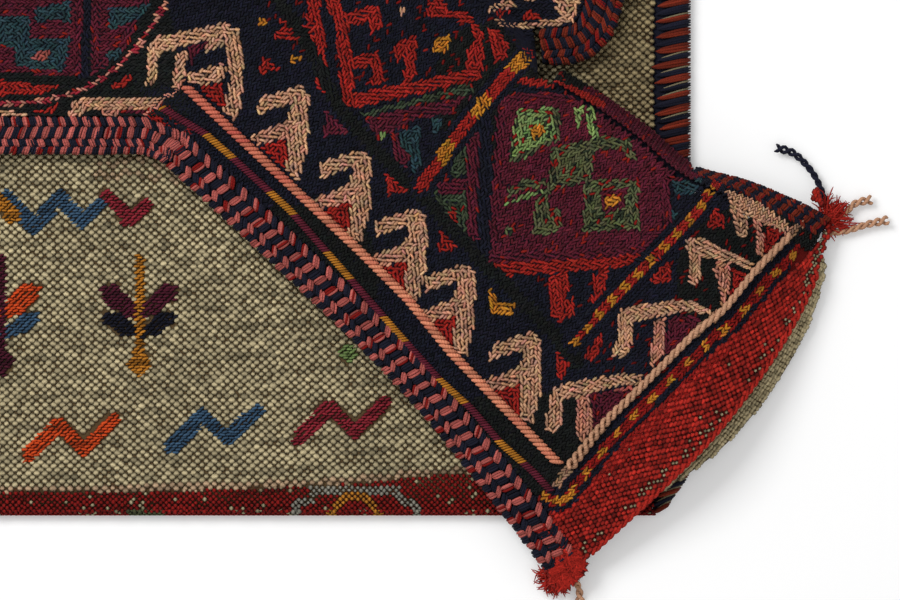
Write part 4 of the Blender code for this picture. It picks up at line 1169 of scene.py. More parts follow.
# %% [markdown]
# ## Stitches on the neck
#
# A staggered grid in the neck's own frame gives the places. Those on the neck are kept: between the crease
# beside the left shoulder and the step to the right shoulder. One object holds the ground, and others hold
# the hooks, the forms of the field and the line at the mouth, because each of them stands for other solids.

# %% Stitches on the neck
CREST_REACH = 3.2
a, b, row_number = staggered(np.arange(BRAID_WIDTH + 0.4, 285.0, STITCH_PITCH),
                             np.arange(20.0, 345.0, ROW_PITCH), STITCH_PITCH / 2)
places = neck_place(a, b)
direction = unit(neck_place(a + 1.0, b) - places)
px, py = in_picture(places[:, 0], places[:, 1])
on_neck = inside_outline(places[:, 0], places[:, 1], front_outline)
on_neck |= nearest(places[:, 0], places[:, 1], crest_edge[2:])[0] < CREST_REACH
on_neck &= (py > CREASE[0][1]) | (px > crossing_x(CREASE, py))
on_neck &= (py > LOBE_SIDE[0][1]) | (px < crossing_x(LOBE_SIDE, py))
selected = [array[on_neck] for array in (places, direction, row_number, px, py, a, b)]
places, direction, row_number, px, py, a, b = selected
colour, kind, flow = neck_design(px, py, a, b)
laid = lay_stitches(places[:, 0], places[:, 1], row_number, direction, neck_top, colour, kind == 1, flow)
medallion_nodes = [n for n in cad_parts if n.endswith(("_medallion", "_square")) and "shoulder" not in n]
hook_nodes = [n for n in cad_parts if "_hook_" in n]
for label, number, slot, nodes in (
        ("neck_ground_stitches", 0, "dark_guard_line",
         ("dark_guard_line", "mouth_cross_band", "middle_cross_band")),
        ("neck_hook_stitches", 1, "side_hook_1", hook_nodes),
        ("neck_field_stitches", 2, "plum_medallion", medallion_nodes + ["green_hook"]),
        ("mouth_line_stitches", 3, "mouth_guard_line", ("mouth_guard_line",))):
    piece = stitch_piece(label, *[part[kind == number] for part in laid], soumak_wool, slot)
    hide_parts(*nodes)
print("stitches on the neck", len(places))

# %% [markdown]
# ## Stitches on the two shoulders
#
# The shoulders are the two ends of the body's upper edge, folded over with the neck between them. Their rows
# run nearly level, along the fold and not along the mouth, so they meet the neck's rows at an angle.

# %% Stitches on the two shoulders
x, y, row_number = staggered(np.arange(-216.0, 222.0, STITCH_PITCH), np.arange(-20.0, 110.0, ROW_PITCH),
                             STITCH_PITCH / 2)
px, py = in_picture(x, y)
inside = inside_outline(x, y, front_outline)
left = inside & (px <= crossing_x(CREASE, py)) & (px < 300) & ((py < CREASE[0][1]) | (px < 190))
right = inside & (px >= crossing_x(LOBE_SIDE, py)) & (px > 400) & (py < LOBE_SIDE[0][1])
for label, mask, design, slot, nodes in (
        ("left_shoulder_stitches", left, shoulder_design, "shoulder_medallion",
         ("shoulder_medallion", "shoulder_square")),
        ("right_shoulder_stitches", right, lobe_design, "shoulder_square", ())):
    colour, kind, flow = design(px[mask], py[mask])
    direction = np.tile((1.0, 0.12), (mask.sum(), 1))
    laid = lay_stitches(x[mask], y[mask], row_number[mask], unit(direction), neck_top, colour, kind == 1, flow)
    piece = stitch_piece(label, *laid, soumak_wool, slot)
    if nodes:
        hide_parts(*nodes)

# %% [markdown]
# ## The shoulder's corner
#
# Where the seam turns beside the folded corner, the rows of the shoulder and of the neck leave a small gap. A
# patch of red and dark stitches closes it. It lies a little lower than they do, so they cover its edge.

# %% Patch at the shoulder's corner
PATCH_OUTLINE = ((146, 108), (166, 102), (196, 130), (186, 140), (162, 126), (148, 120))
PATCH_ROW = 1.1
PATCH_DEPTH = 0.2
patch = on_table(PATCH_OUTLINE)
x, y = np.meshgrid(np.arange(patch[:, 0].min(), patch[:, 0].max(), STITCH_PITCH * 0.8),
                   np.arange(patch[:, 1].min(), patch[:, 1].max(), PATCH_ROW))
inside = inside_outline(x, y, patch)
x, y = x[inside], y[inside]
colour = np.where(((x + y) % 9.0 < 5.0)[:, None], DEEP_RED, NAVY)
direction = np.tile(unit(np.array([[0.8, -0.6]])), (len(x), 1))
laid = lay_stitches(x, y, np.round(y / PATCH_ROW), direction, lambda x, y: neck_top(x, y) - PATCH_DEPTH,
                    colour, np.zeros(len(x)), np.zeros((len(x), 3)))
stitch_piece("shoulder_corner_stitches", *laid, soumak_wool, "cloth")

# %% [markdown]
# ## Stitches round the fold
#
# At the fold the top layer turns down to the front. Its stitches stand on a half round: the angle goes from
# the table side up to the neck's side. The diamonds on it lie outside the picture and are guessed from the
# medallions.

# %% Stitches round the fold
DIAMOND = ((-1.0, 52.0, PLUM), (28.0, 36.0, TEAL), (-1.0, 12.0, OCHRE), (58.0, 66.0, RED))
x, angle, row_number = staggered(np.arange(-213.0, 213.0, STITCH_PITCH), np.linspace(0.06, math.pi - 0.02, 17),
                                 STITCH_PITCH / 2)
line_y = np.interp(x, FOLD[:, 0], FOLD[:, 1])
slope = np.interp(x, FOLD[:-1, 0], np.diff(FOLD[:, 1]) / np.diff(FOLD[:, 0]))
out = unit(np.column_stack([-slope, np.ones(len(x)), np.zeros(len(x))]))
radius = (front_top + CLOTH / 2) / 2.0
middle = np.column_stack([x, line_y, np.full(len(x), radius)])
up = unit(out * np.sin(angle)[:, None] + np.array([0.0, 0.0, -1.0]) * np.cos(angle)[:, None])
along = unit(np.column_stack([np.ones(len(x)), slope, np.zeros(len(x))]))
across = np.cross(up, along)
slant = np.where(row_number % 2 == 0, SLANT, -SLANT)
along, across = turned_by(along, across, slant)
cell = np.abs((x + 46.0) % 92.0 - 46.0) + 4.2 * np.abs(row_number - 8.0)
colour = np.tile(NAVY, (len(x), 1))
for low, high, wool in DIAMOND:
    colour[(cell > low) & (cell < high)] = wool
colour = colour * rng.normal(1.0, 0.13, (len(x), 1))
sizes = np.tile((1.6, 0.75, 0.75), (len(x), 1))
stitch_piece("fold_stitches", middle + up * (radius - 0.3), along, across, up, sizes, colour, soumak_wool,
             "cloth")

# %% [markdown]
# ## The plain back
#
# The back is plain weave in thick undyed wool, so it looks like rows of small beads laid like bricks: each
# bead is one weft that passes over a warp. The zigzags and the sprigs are brocaded into it, with longer
# stitches that stand up from the ground. The red hem is the same weave in red, packed so closely that it
# covers the warps.

# %% Figures of the back


def zigzag(shift_x, shift_y):
    """The N shaped zigzag, moved to its place."""
    return [(px + shift_x, py + shift_y) for px, py in ((-42, 18), (-12, -13), (12, 11), (42, -17))]


ZIGZAGS = (
    (ORANGE, zigzag(72, 437)), (BLUE, zigzag(215, 428)), (CRIMSON, zigzag(342, 420)), (BLUE, zigzag(-65, 440)),
    (CRIMSON, zigzag(-201, 440)), (BLUE, ((8, 197), (36, 228), (59, 197), (83, 222), (108, 198))),
    (CRIMSON, ((108, 195), (130, 220), (146, 205))), (OCHRE, ((-14, 222), (0, 200), (14, 216))),
)
# Each sprig: its middle, and the dyes of its stem, its upper leaves and its lower leaves
SPRIGS = ((140, OCHRE, MAROON, NAVY), (3, MAROON, ORANGE, BLUE), (-133, OCHRE, MAROON, BLUE))
UPPER_LEAF = ((3, 319), (4, 302), (24, 283), (39, 286), (36, 299), (18, 315))
LOWER_LEAF = ((3, 338), (4, 326), (22, 312), (37, 312), (35, 323), (18, 335))
GREEN_SPOT = (349, 353)
HEM_TOP = ((-400, 494), (0, 492), (80, 492), (200, 490), (330, 485), (430, 475), (500, 473), (700, 470))
HEM_STEPS = ((295, 518), (297, 503), (312, 500), (314, 490), (398, 490), (400, 500), (416, 503), (417, 518))
HEM_ARCH = ((330, 518), (345, 497), (366, 497), (380, 518))
HEM_DASH = ((130, 514), (163, 516))


def back_design(x, y):
    """Dyes of the back and the kind of each stitch: 0 plain, 1 figure, 2 hem."""
    # Towards the right the beads turn darker, to taupe.
    taupe = smoothstep((x - 540.0) / 60.0)[:, None]
    colour = BEIGE * (1.0 - taupe) + TAUPE * taupe
    cloudy = np.sin(x * 0.031 + 2.0 * np.sin(y * 0.021)) * np.sin(y * 0.043 + 1.3) * 0.09
    colour = colour * (1.0 + cloudy)[:, None]
    kind = np.zeros(len(x), dtype=int)
    pinkish = (np.hypot((x - 160) / 70.0, (y - 170) / 14.0) < 1.0) & (rng.random(len(x)) < 0.6)
    paint(colour, pinkish, BEIGE * 0.75 + PINK * 0.25)
    for wool, line in ZIGZAGS:
        mask = paint_line(colour, x, y, line, 14.5, wool)
        kind[mask] = 1
    for foot, stem, high, low in SPRIGS:
        kind[paint_line(colour, x, y, ((foot, 258), (foot, 352)), 9, stem)] = 1
        knob = np.abs(x - foot) + 0.75 * np.abs(y - 362) < 13
        paint(colour, knob, stem)
        kind[knob] = 1
        for side in (-1, 1):
            for wool, leaf in ((high, UPPER_LEAF), (low, LOWER_LEAF)):
                mask = inside_outline(x, y, [(foot + side * px, py) for px, py in leaf])
                paint(colour, mask, wool)
                kind[mask] = 1
    spot = np.hypot(x - GREEN_SPOT[0], y - GREEN_SPOT[1]) < 9
    paint(colour, spot, GREEN)
    kind[spot] = 1
    hem_y = np.interp(x, *np.array(HEM_TOP).T)
    in_hem = y > hem_y
    paint(colour, in_hem, DEEP_RED)
    paint(colour, in_hem & (rng.random(len(x)) < 0.05), BEIGE * 0.8)
    paint_line(colour, x, y, HEM_STEPS, 8, (BLUE + BEIGE) / 2)
    paint_line(colour, x, y, HEM_ARCH, 8, OCHRE)
    paint_line(colour, x, y, HEM_DASH, 8, OLIVE)
    kind[in_hem] = 2
    paint(colour, np.abs(y - hem_y + 3) < 3.5, BEIGE * 0.7 + PINK * 0.3)
    return colour, kind


BEAD_SINK = 0.02


def lay_beads(x, y, surface, colour, direction, length, width, height):
    """Beads of plain weave with a little unevenness, and darker streaks where the wool of a row changes."""
    count = len(x)
    centre, along, across, up = surface_frame(x, y, direction, surface)
    thick = rng.normal(1.0, 0.09, count)
    sizes = np.column_stack([rng.normal(length, 0.1, count) * thick, width * thick,
                             rng.normal(height, 0.06, count)])
    along, across = turned_by(along, across, rng.normal(0.0, 0.22, count))
    centre = centre + across * rng.normal(0.0, 0.1, (count, 1)) + along * rng.normal(0.0, 0.12, (count, 1))
    centre = centre - up * BEAD_SINK
    streak = (np.sin(y * 2.9 + 3.0 * np.sin(x * 0.021)) * np.sin(x * 0.11 + y * 1.7)
              * np.sin(x * 0.043 - y * 0.31))
    tone = rng.normal(1.0, 0.13, count) * (1.0 - 0.42 * smoothstep((streak - 0.1) / 0.5))
    return centre, along, across, up, sizes, np.clip(colour * tone[:, None], 0.0, 1.0)


# %% [markdown]
# ## Beads of the back
#
# The rows of beads wave a little, as handwoven rows do. Beads are left out where the neck covers the back,
# except in a margin that can be seen from the side.

# %% Beads of the back
BEAD_PITCH = 3.6
BEAD_ROW = 1.62
x, y, _ = staggered(np.arange(-214.0, 216.0, BEAD_PITCH), np.arange(BODY_BOTTOM + 0.6, 100.0, BEAD_ROW),
                    BEAD_PITCH / 2)
y = y + 0.9 * np.sin(x / 41.0 + 0.6) + 0.5 * np.sin(x / 17.0)
keep = inside_outline(x, y, lower_outline) & (y < np.interp(x, FOLD[:, 0], FOLD[:, 1]) - 2.0)
covered = inside_outline(x, y, back_outline) & (nearest(x, y, back_outline)[0] > 14.0)
keep &= ~covered
x, y = x[keep], y[keep]
colour, kind = back_design(*in_picture(x, y))
laid = lay_beads(x, y, back_top, colour, np.tile((1.0, 0.0), (len(x), 1)), 1.45, 1.27, 0.85)
plain = kind == 0
stitch_piece("back_weave", *[part[plain] for part in laid], back_wool, "cloth")
print("beads of the back", int(plain.sum()))

# %% [markdown]
# ## Brocaded figures and the hem
#
# The figures lie on a finer grid than the beads, and their stitches slant. The hem's stitches run along the
# bag, because its red wefts cover the warps. The hem goes on round the bottom edge, where the cloth turns to
# the front.

# %% Brocaded figures and the hem
FIGURE_PITCH = 2.5
FIGURE_ROW = 1.25
x, y, _ = staggered(np.arange(-214.0, 216.0, FIGURE_PITCH), np.arange(BODY_BOTTOM - 2.0, 80.0, FIGURE_ROW),
                    FIGURE_PITCH / 2)
covered = inside_outline(x, y, back_outline) & (nearest(x, y, back_outline)[0] > 10.0)
x, y = x[~covered], y[~covered]
colour, kind = back_design(*in_picture(x, y))
figure = kind == 1
laid = lay_beads(x[figure], y[figure], back_top, colour[figure], np.tile((0.97, 0.26), (figure.sum(), 1)),
                 1.7, 0.72, 1.15)
back_nodes = [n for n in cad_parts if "zigzag" in n or n.startswith("sprig")]
figures = stitch_piece("back_figure_stitches", *laid, back_wool, "zigzag_1")
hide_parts(*back_nodes)
red = (kind == 2) & (y > BODY_BOTTOM + 1.0)
laid = lay_beads(x[red], y[red], back_top, colour[red], np.tile((0.0, 1.0), (red.sum(), 1)), 0.9, 0.95, 0.8)
hem_piece = stitch_piece("hem_weave", *laid, back_wool, "hem_band")
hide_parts("hem_band")
x, angle, _ = staggered(np.arange(-214.0, 215.0, 2.1), np.linspace(0.1, math.pi - 0.25, 6), 1.05)
up = np.column_stack([np.zeros(len(x)), -np.sin(angle), np.cos(angle)])
middle = np.column_stack([x, np.full(len(x), hem), np.full(len(x), STACK / 2)])
colour = back_design(*in_picture(x, np.full(len(x), BODY_BOTTOM - 1.0)))[0]
colour = colour * rng.normal(1.0, 0.15, (len(x), 1))
along = np.tile((1.0, 0.0, 0.0), (len(x), 1))
sizes = np.tile((1.0, 0.75, 0.6), (len(x), 1))
stitch_piece("hem_turn_weave", middle + up * (STACK / 2 - 0.35), along, np.cross(up, along), up, sizes, colour,
             back_wool, "hem_band")

# %% [markdown]
# ## The lip at the mouth
#
# The under layer reaches a little further than the top layer, so a strip of its beige back shows at the
# mouth.

# %% The lip of the under layer at the mouth
a, b, _ = staggered(np.arange(30.0, 240.0, 2.1), np.arange(-9.5, 7.0, 1.6), 1.05)
places = neck_place(a, b)
direction = unit(neck_place(a + 1.0, b) - places)
keep = inside_outline(places[:, 0], places[:, 1], back_outline)
places, direction = places[keep], direction[keep]


def lip_top(x, y):
    """Upper face of the under layer."""
    return back_height(x, y) + CLOTH / 2 - 0.25


lip_wool = np.tile(BEIGE * 1.25, (len(places), 1))
laid = lay_beads(places[:, 0], places[:, 1], lip_top, lip_wool, direction, 1.3, 1.0, 0.75)
stitch_piece("mouth_lip_weave", *laid, back_wool, "cloth")

# %% [markdown]
# ## The red band at the mouth
#
# The mouth ends in a weft-faced band: the red wefts are beaten down until ribs stand up along the warps.
# Where the wool has worn, the pale warps show as dots, most of them near the edge. A red cord closes the
# edge.

# %% Mouth band
band_a, band_b = np.meshgrid(np.arange(0.8, 228.0, 2.55), np.arange(0.6, 24.5, 1.9))
a = (band_a + rng.normal(0.0, 0.12, band_a.shape)).ravel()
b = (band_b + (np.arange(band_a.shape[1]) % 2)[None, :] * 0.95).ravel()
column = np.broadcast_to(np.arange(band_a.shape[1])[None, :], band_a.shape).ravel()
places = neck_place(a, b)
direction = unit(neck_place(a + 1.0, b) - places)
px, py = in_picture(places[:, 0], places[:, 1])
keep = inside_outline(places[:, 0], places[:, 1], front_outline) | (b < 24.0)
keep &= nearest(px, py, MOUTH_LINE)[0] > 26.0
keep &= (a > 8.0) | (b < 11.0)
colour = np.where((rng.random(len(a)) < 0.6)[:, None], MOUTH_RED, RED) * rng.normal(0.95, 0.2, (len(a), 1))
wear = 0.5 + 0.5 * np.sin(a * 0.09 + 1.0) * np.sin(a * 0.037)
worn = (rng.random(len(a)) < 0.75 * wear * smoothstep((7.5 - b) / 3.0) + 0.012) & (b > 1.6)
colour[worn] = BEIGE * 0.7
laid = lay_beads(places[keep, 0], places[keep, 1], neck_top, colour[keep], direction[keep], 1.42, 1.15, 0.85)
sizes = laid[4]
sizes[worn[keep]] = (0.8, 0.7, 0.8)
sizes[:, 2] += 0.22 * (column[keep] % 2)
mouth_band = stitch_piece("mouth_band_weave", *laid, back_wool, "mouth_band")
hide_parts("mouth_band")

# %% [markdown]
# ## Wrapped seams
#
# The open edges of the bag are closed with thick wool, wrapped over both layers. On the front the yarns form
# columns of herringbone in two colours. On the back the same seam shows its straight wraps, which look like
# slanting stripes. Here a seam is a strip with an outer line, an inner line and normals. A place on it is a
# length along it and a share of its width, so a yarn is a short path between two such places.

# %% Strips of the seams
SEAM_POINTS = 60
CORE_SIDES = 12
HEM_ROUNDING = 10.0


def raised(points, heights):
    """Points on the table with heights."""
    return np.column_stack([points, np.broadcast_to(heights, len(points))])


def middle_height(points):
    """Height halfway between the two layers of the folded neck."""
    return (back_height(points[:, 0], points[:, 1]) + front_height(points[:, 0], points[:, 1])) / 2.0


def body_strip(side):
    """The straight part of a side seam below the fold."""
    outer_fold = fold_point(side * BODY_WIDTH / 2)
    inner_fold = fold_point(side * (BODY_WIDTH / 2 - BRAID_WIDTH))
    outer = resampled(((side * BODY_WIDTH / 2, BODY_BOTTOM + 3.0), outer_fold), SEAM_POINTS)
    inner = resampled(((side * (BODY_WIDTH / 2 - BRAID_WIDTH), BODY_BOTTOM + 1.0), inner_fold), SEAM_POINTS)
    outer[:, 0] -= side * HEM_ROUNDING * (1.0 - smoothstep((outer[:, 1] - BODY_BOTTOM) / 20.0))
    return raised(outer, STACK / 2), raised(inner, STACK / 2), np.tile((0.0, 0.0, 1.0), (SEAM_POINTS, 1))


def folded_strip(side, edge):
    """The half round turn of a side seam at the fold, and its way on along the folded over edge."""
    outer_fold = fold_point(side * BODY_WIDTH / 2)
    inner_fold = fold_point(side * (BODY_WIDTH / 2 - BRAID_WIDTH))
    top = FOLD_TOP + (CLOTH + SEAT_GAP) / 2
    radius = (top - STACK / 2) / 2
    angle = np.linspace(0.0, math.pi, 12)[:-1]
    out = side_normals(FOLD)[0 if side < 0 else -1]
    shift = np.sin(angle)[:, None] * out * radius
    heights = (STACK / 2 + top) / 2 - radius * np.cos(angle)
    outer_edge = resampled(edge, SEAM_POINTS)
    inner_side = resampled(inner_edge(np.asarray(edge), inner_fold, -side * BRAID_WIDTH), SEAM_POINTS)
    outer = np.vstack([raised(outer_fold + shift, heights), raised(outer_edge, middle_height(outer_edge))])
    inner = np.vstack([raised(inner_fold + shift, heights), raised(inner_side, middle_height(inner_side))])
    turn = np.column_stack([np.sin(angle)[:, None] * out, -np.cos(angle)])
    return outer, inner, np.vstack([turn, np.tile((0.0, 0.0, 1.0), (SEAM_POINTS, 1))])


def left_neck_strip():
    """Seam down the left side of the neck."""
    inner = NECK_LEFT + side_normals(NECK_LEFT) * BRAID_WIDTH
    return (raised(NECK_LEFT, middle_height(NECK_LEFT)), raised(inner, middle_height(inner)),
            np.tile((0.0, 0.0, 1.0), (len(NECK_LEFT), 1)))


def right_neck_strip():
    """Seam along the right side of the neck, turned down under its edge."""
    line = resampled(CREST_LINE, SEAM_POINTS)
    reach = BRAID_WIDTH * np.cos(turned_tilt(CREST_LINE[:, 0]))
    inner = resampled(CREST_LINE + side_normals(CREST_LINE) * reach[:, None], SEAM_POINTS)
    tilt = turned_tilt(line[:, 0])
    inward = side_normals(line)
    inner_height = middle_height(inner)
    outer_height = np.maximum(inner_height - BRAID_WIDTH * np.sin(tilt), SEAT_GAP + STACK / 2)
    normals = np.column_stack([-inward * np.sin(tilt)[:, None], np.cos(tilt)])
    return [part[1:-2] for part in (raised(line, outer_height), raised(inner, inner_height), normals)]


def strip_place(strip, length, share, lift):
    """Points of a strip: length along it, share of its width from the outer line, and lift over its middle."""
    outer, inner, normals = strip
    middle = arc_lengths((outer + inner) / 2)
    length = np.clip(length, 0.0, middle[-1])

    def between(rows):
        return np.stack([np.interp(length, middle, rows[:, axis]) for axis in range(3)], axis=-1)
    start, end = between(outer), between(inner)
    return start + (end - start) * share[..., None] + unit(between(normals)) * lift[..., None]


def strip_length(strip):
    """Length of a strip's middle line."""
    return arc_lengths((strip[0] + strip[1]) / 2)[-1]


def seam_core(name, strip, colour, slot):
    """The layers of cloth inside a seam: an oval section swept along the strip."""
    outer, inner, normals = strip
    angle = np.linspace(0.0, 2 * math.pi, CORE_SIDES, endpoint=False)
    middle, half = (outer + inner) / 2, (outer - inner) / 2
    reach = np.where(np.cos(angle) > 0, 0.97, 1.2) * np.cos(angle)
    core_verts = (middle[:, None, :] + half[:, None, :] * reach[None, :, None]
                  + unit(normals)[:, None, :] * (np.sin(angle) * (STACK / 2 - 0.1))[None, :, None])
    rows = (np.arange(len(outer) - 1) * CORE_SIDES)[:, None]
    here = np.arange(CORE_SIDES)[None, :]
    after = (here + 1) % CORE_SIDES
    quads = np.stack([rows + here, rows + after, rows + CORE_SIDES + after, rows + CORE_SIDES + here], axis=-1)
    caps = [here[:, ::-1], (len(outer) - 1) * CORE_SIDES + here]
    wool = np.tile(colour, (len(outer) * CORE_SIDES, 1))
    core = make_piece(name, core_verts.reshape(-1, 3), [quads.reshape(-1, 4), *caps], soumak_wool, wool)
    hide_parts(slot)


# Each column of herringbone: where its stitches start and end across the seam, and their slant in mm
COLUMNS = ((0.0, 0.17, 1.2), (0.15, 0.4, -2.9), (0.38, 0.76, 1.3), (0.74, 1.04, -3.1))
PLIES = (-1, 0, 1)


def herringbone(strip, wools, pitch=3.5, radius=0.62):
    """Paths and colours of the yarns on the front of a seam. Each column's stitches slant the other way than
    those of its neighbour, and each stitch is three yarns side by side that draw together at its ends."""
    count = int(strip_length(strip) / pitch)
    grid = np.meshgrid(np.arange(count), np.arange(len(COLUMNS)), PLIES, indexing="ij")
    stitch, column, ply = [part.ravel() for part in grid]
    start, end, slant = np.array(COLUMNS)[column].T[:, :, None]
    t = np.linspace(0.0, 1.0, 6)[None, :]
    whole = np.repeat(rng.normal(0.0, 0.28, len(stitch) // 3), 3)
    jitter = (whole + rng.normal(0.0, 0.1, len(stitch)))[:, None]
    apart = 1.02 * (1.0 - 0.55 * (2.0 * t - 1.0)**4) * ply[:, None]
    along = ((stitch[:, None] + 0.5 + 0.31 * column[:, None]) * pitch + apart
             + slant * (t - 0.5) * pitch / 3.5 + jitter)
    share = start + (end - start) * t + rng.normal(0.0, 0.012, (len(stitch), 1))
    arch = np.sin(math.pi * np.clip(t, 0.02, 0.98))**0.7
    lift = STACK / 2 + 0.1 + (0.95 - 0.18 * np.abs(ply[:, None])) * arch + 0 * along
    outermost = (column == 0)[:, None] & (t < 0.5)
    share = np.where(outermost, share - 0.05, share)
    lift = np.where(outermost, lift - 3.4 * (0.5 - t), lift)
    paths = strip_place(strip, along, share, lift)
    colour = wools[stitch % 2] * rng.normal(1.0, 0.2, (len(stitch), 1))
    other = (stitch % 2 == 0) & (rng.random(len(stitch)) < 0.16)
    colour[other] = DEEP_RED * 0.8
    return paths, colour, np.full(len(stitch), radius) * rng.normal(1.0, 0.08, len(stitch))


def overcast(strip, wools, pitch=3.25, slant=2.3, radius=0.72):
    """Paths and colours of the straight wraps on the back of a seam. Each wrap is three yarns of one colour
    that come round the edge side by side and draw together in one hole at the inner side."""
    groups = int(strip_length(strip) / pitch)
    group, ply = [part.ravel() for part in np.meshgrid(np.arange(groups), PLIES, indexing="ij")]
    count = len(group)
    t = np.linspace(0.0, 1.0, 9)[None, :]
    reach = 1.02 + np.repeat(rng.normal(0.0, 0.06, groups), 3)[:, None] - 0.05 * np.abs(ply[:, None])
    apart = 1.0 * (1.0 - 0.85 * t**3) * ply[:, None]
    wander = np.repeat(rng.normal(0.0, 0.3, groups), 3)[:, None]
    along = (group[:, None] + 0.5) * pitch + apart + (slant + wander) * (0.5 - t)
    along = along + rng.normal(0.0, 0.1, (count, 1))
    share = -0.06 + reach * t
    arch = np.sin(math.pi * np.clip(t, 0.03, 1.0))**0.6
    lift = STACK / 2 + 0.1 + (0.95 - 0.2 * np.abs(ply[:, None])) * arch - 3.2 * np.clip(0.2 - t, 0, 1) / 0.2
    paths = strip_place(strip, along, share, lift + 0 * along)
    colour = wools[group % 2] * rng.normal(1.0, 0.22, (count, 1))
    glint = (ply == 1) & (rng.random(count) < 0.25)
    colour[glint] = BEIGE * 0.4
    return paths, colour, np.where(glint, radius * 0.6, radius)


# %% [markdown]
# ## Sewing the four seams
#
# Each seam has a strip for its front. Those of the body also have one for the straight wraps below the fold.
# The left shoulder's strip is led on into the neck's, so no gap shows at the corner. The right seam of the
# neck is turned under, and it shows near the mouth only.

# %% The four seams
BARE_FROM = 231.0
left_wools = np.array([PINK, NAVY])
right_wools = np.array([RUST, NAVY])
neck_strip = left_neck_strip()
shoulder_strip = folded_strip(-1, left_side_outline(6.0))
bridge = [np.vstack([part[:-1], further[1:3]]) for part, further in zip(shoulder_strip, neck_strip)]
crest_strip = right_neck_strip()
near_mouth = crest_strip[0][:, 0] > BARE_FROM
bare_strip = [part[near_mouth] for part in crest_strip]
bare_strip[1] = bare_strip[0] + 0.6 * (bare_strip[1] - bare_strip[0])
seams = {
    "left_side": (bridge, body_strip(-1), left_wools, 2.6),
    "right_side": (folded_strip(1, LOBE_EDGE), body_strip(1), right_wools, 2.7),
    "left_neck": ([part[:-2] for part in neck_strip], None, left_wools, 3.5),
    "right_neck": (bare_strip, None, right_wools, 2.7),
}
for label, (front_strip, back_strip, wools, pitch) in seams.items():
    node = label + "_braid"
    whole = {"right_neck": crest_strip, "left_neck": neck_strip}.get(label, front_strip)
    if back_strip is not None:
        whole = [np.vstack([low[:-1], high]) for low, high in zip(back_strip, front_strip)]
        whole[2] = np.vstack([-back_strip[2][:-1], front_strip[2]])
    seam_core(label + "_core", whole, NAVY * 0.8, node)
    paths, colour, radius = herringbone(front_strip, wools, pitch)
    tube_piece(label + "_herringbone", paths, radius * (0.7 + 0.3 * pitch / 3.5), colour, node)
    if back_strip is not None:
        paths, colour, radius = overcast(back_strip, wools)
        tube_piece(label + "_overcast", paths, radius, colour, node)

# %% [markdown]
# ## The turned edge of the neck
#
# Along its right side the neck is rolled over, so the wrapped-weft work goes on round the edge and hides most
# of the seam there. These stitches lie on the turned strip, and near the mouth they leave its outer half
# free.

# %% Stitches round the turned edge
TURNED_END = 286.0
run, over = np.meshgrid(np.arange(0.6, strip_length(crest_strip), ROW_PITCH), np.arange(-0.02, 1.06, 0.148))
row_number = np.broadcast_to(np.arange(run.shape[1])[None, :], run.shape).ravel()
over = (over + (np.arange(run.shape[1]) % 2)[None, :] * 0.074).ravel()
run = run.ravel()
lift = np.full(len(run), STACK / 2 + 0.35)
centre = strip_place(crest_strip, run, over, lift)
across_edge = unit(strip_place(crest_strip, run, over + 0.05, lift) - centre)
up = unit(strip_place(crest_strip, run, over, lift + 1.0) - centre)
down_edge = np.cross(up, across_edge)
px, py = in_picture(centre[:, 0], centre[:, 1])
bare = (centre[:, 0] > BARE_FROM) & (over < 0.5 + 0.06 * np.sin(run * 0.5))
keep = ~bare & (centre[:, 0] < TURNED_END)
along, across = turned_by(across_edge, down_edge, np.where(row_number % 2 == 0, SLANT, -SLANT))
colour, kind, flow = neck_design(px, py, np.full(len(px), 200.0), np.full(len(px), 100.0))
# Painted shade: stitches on the part of the strip that turns down are darker.
under = (over < 0.55) & (centre[:, 0] < BARE_FROM)
shade = np.where(under, 0.8, 1.0)[:, None]
sizes = np.column_stack([rng.normal(1.7, 0.15, len(run)), rng.normal(0.68, 0.06, len(run)),
                         np.full(len(run), 0.8)])
laid = (centre, along, across, up, sizes, uneven_dye(colour * shade))
stitch_piece("turned_edge_stitches", *[part[keep] for part in laid], soumak_wool, "right_neck_braid")

# %% [markdown]
# ## Guard lines
#
# Two lines on the neck are worked in thicker yarn that lies on top of the soumak: a cord-like line in cream
# and pink, and beside the seam a line whose colour changes from ochre to plum.

# %% Guard lines


def slanting_line(line, width, pitch, lean, wool_at, radius, lift):
    """Short yarns laid side by side across a line drawn in picture units, each leaning along it."""
    path = resampled(on_table(line), 200)
    length = arc_lengths(path)
    count = int(length[-1] / pitch)
    station = (np.arange(count) + 0.5) * pitch
    t = np.linspace(-1.0, 1.0, 5)[None, :]
    along = station[:, None] + lean * t / 2
    sideways = width / 2 * t + 0 * along
    normals = side_normals(path)
    at = [np.interp(along, length, path[:, axis]) + sideways * np.interp(along, length, normals[:, axis])
          for axis in (0, 1)]
    heights = neck_top(at[0].ravel(), at[1].ravel()).reshape(along.shape) + lift + 0.55 * (1.0 - t**2)
    colour = wool_at(station) * rng.normal(1.0, 0.15, (count, 1))
    return np.stack([at[0], at[1], heights], axis=-1), np.full(count, radius), colour


def rope_wool(station):
    """Cream yarns that turn to a dull pink towards the shoulder, with a pink one here and there."""
    share = np.clip(0.75 - station / 130.0, 0.0, 0.6) + 0.35 * (rng.random(len(station)) < 0.2)
    return (CREAM + (PINK - CREAM) * share[:, None]) * (1.08, 0.72, 0.68)


def dash_wool(station):
    """Ochre and plum in turn."""
    return np.where(((station + 13.2) % 35.7 < 15.0)[:, None], OCHRE * 0.8, PLUM)


rope_paths = slanting_line(ROPE, 3.9, 2.5, 4.6, rope_wool, 0.93, 0.8)
rope = tube_piece("pink_rope_line", *rope_paths, "pink_guard_line")
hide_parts("pink_guard_line")
dash_paths = slanting_line(DASHES, 3.2, 1.3, 2.2, dash_wool, 0.54, 0.6)
tube_piece("dashed_edge_line", *dash_paths, "pink_guard_line")

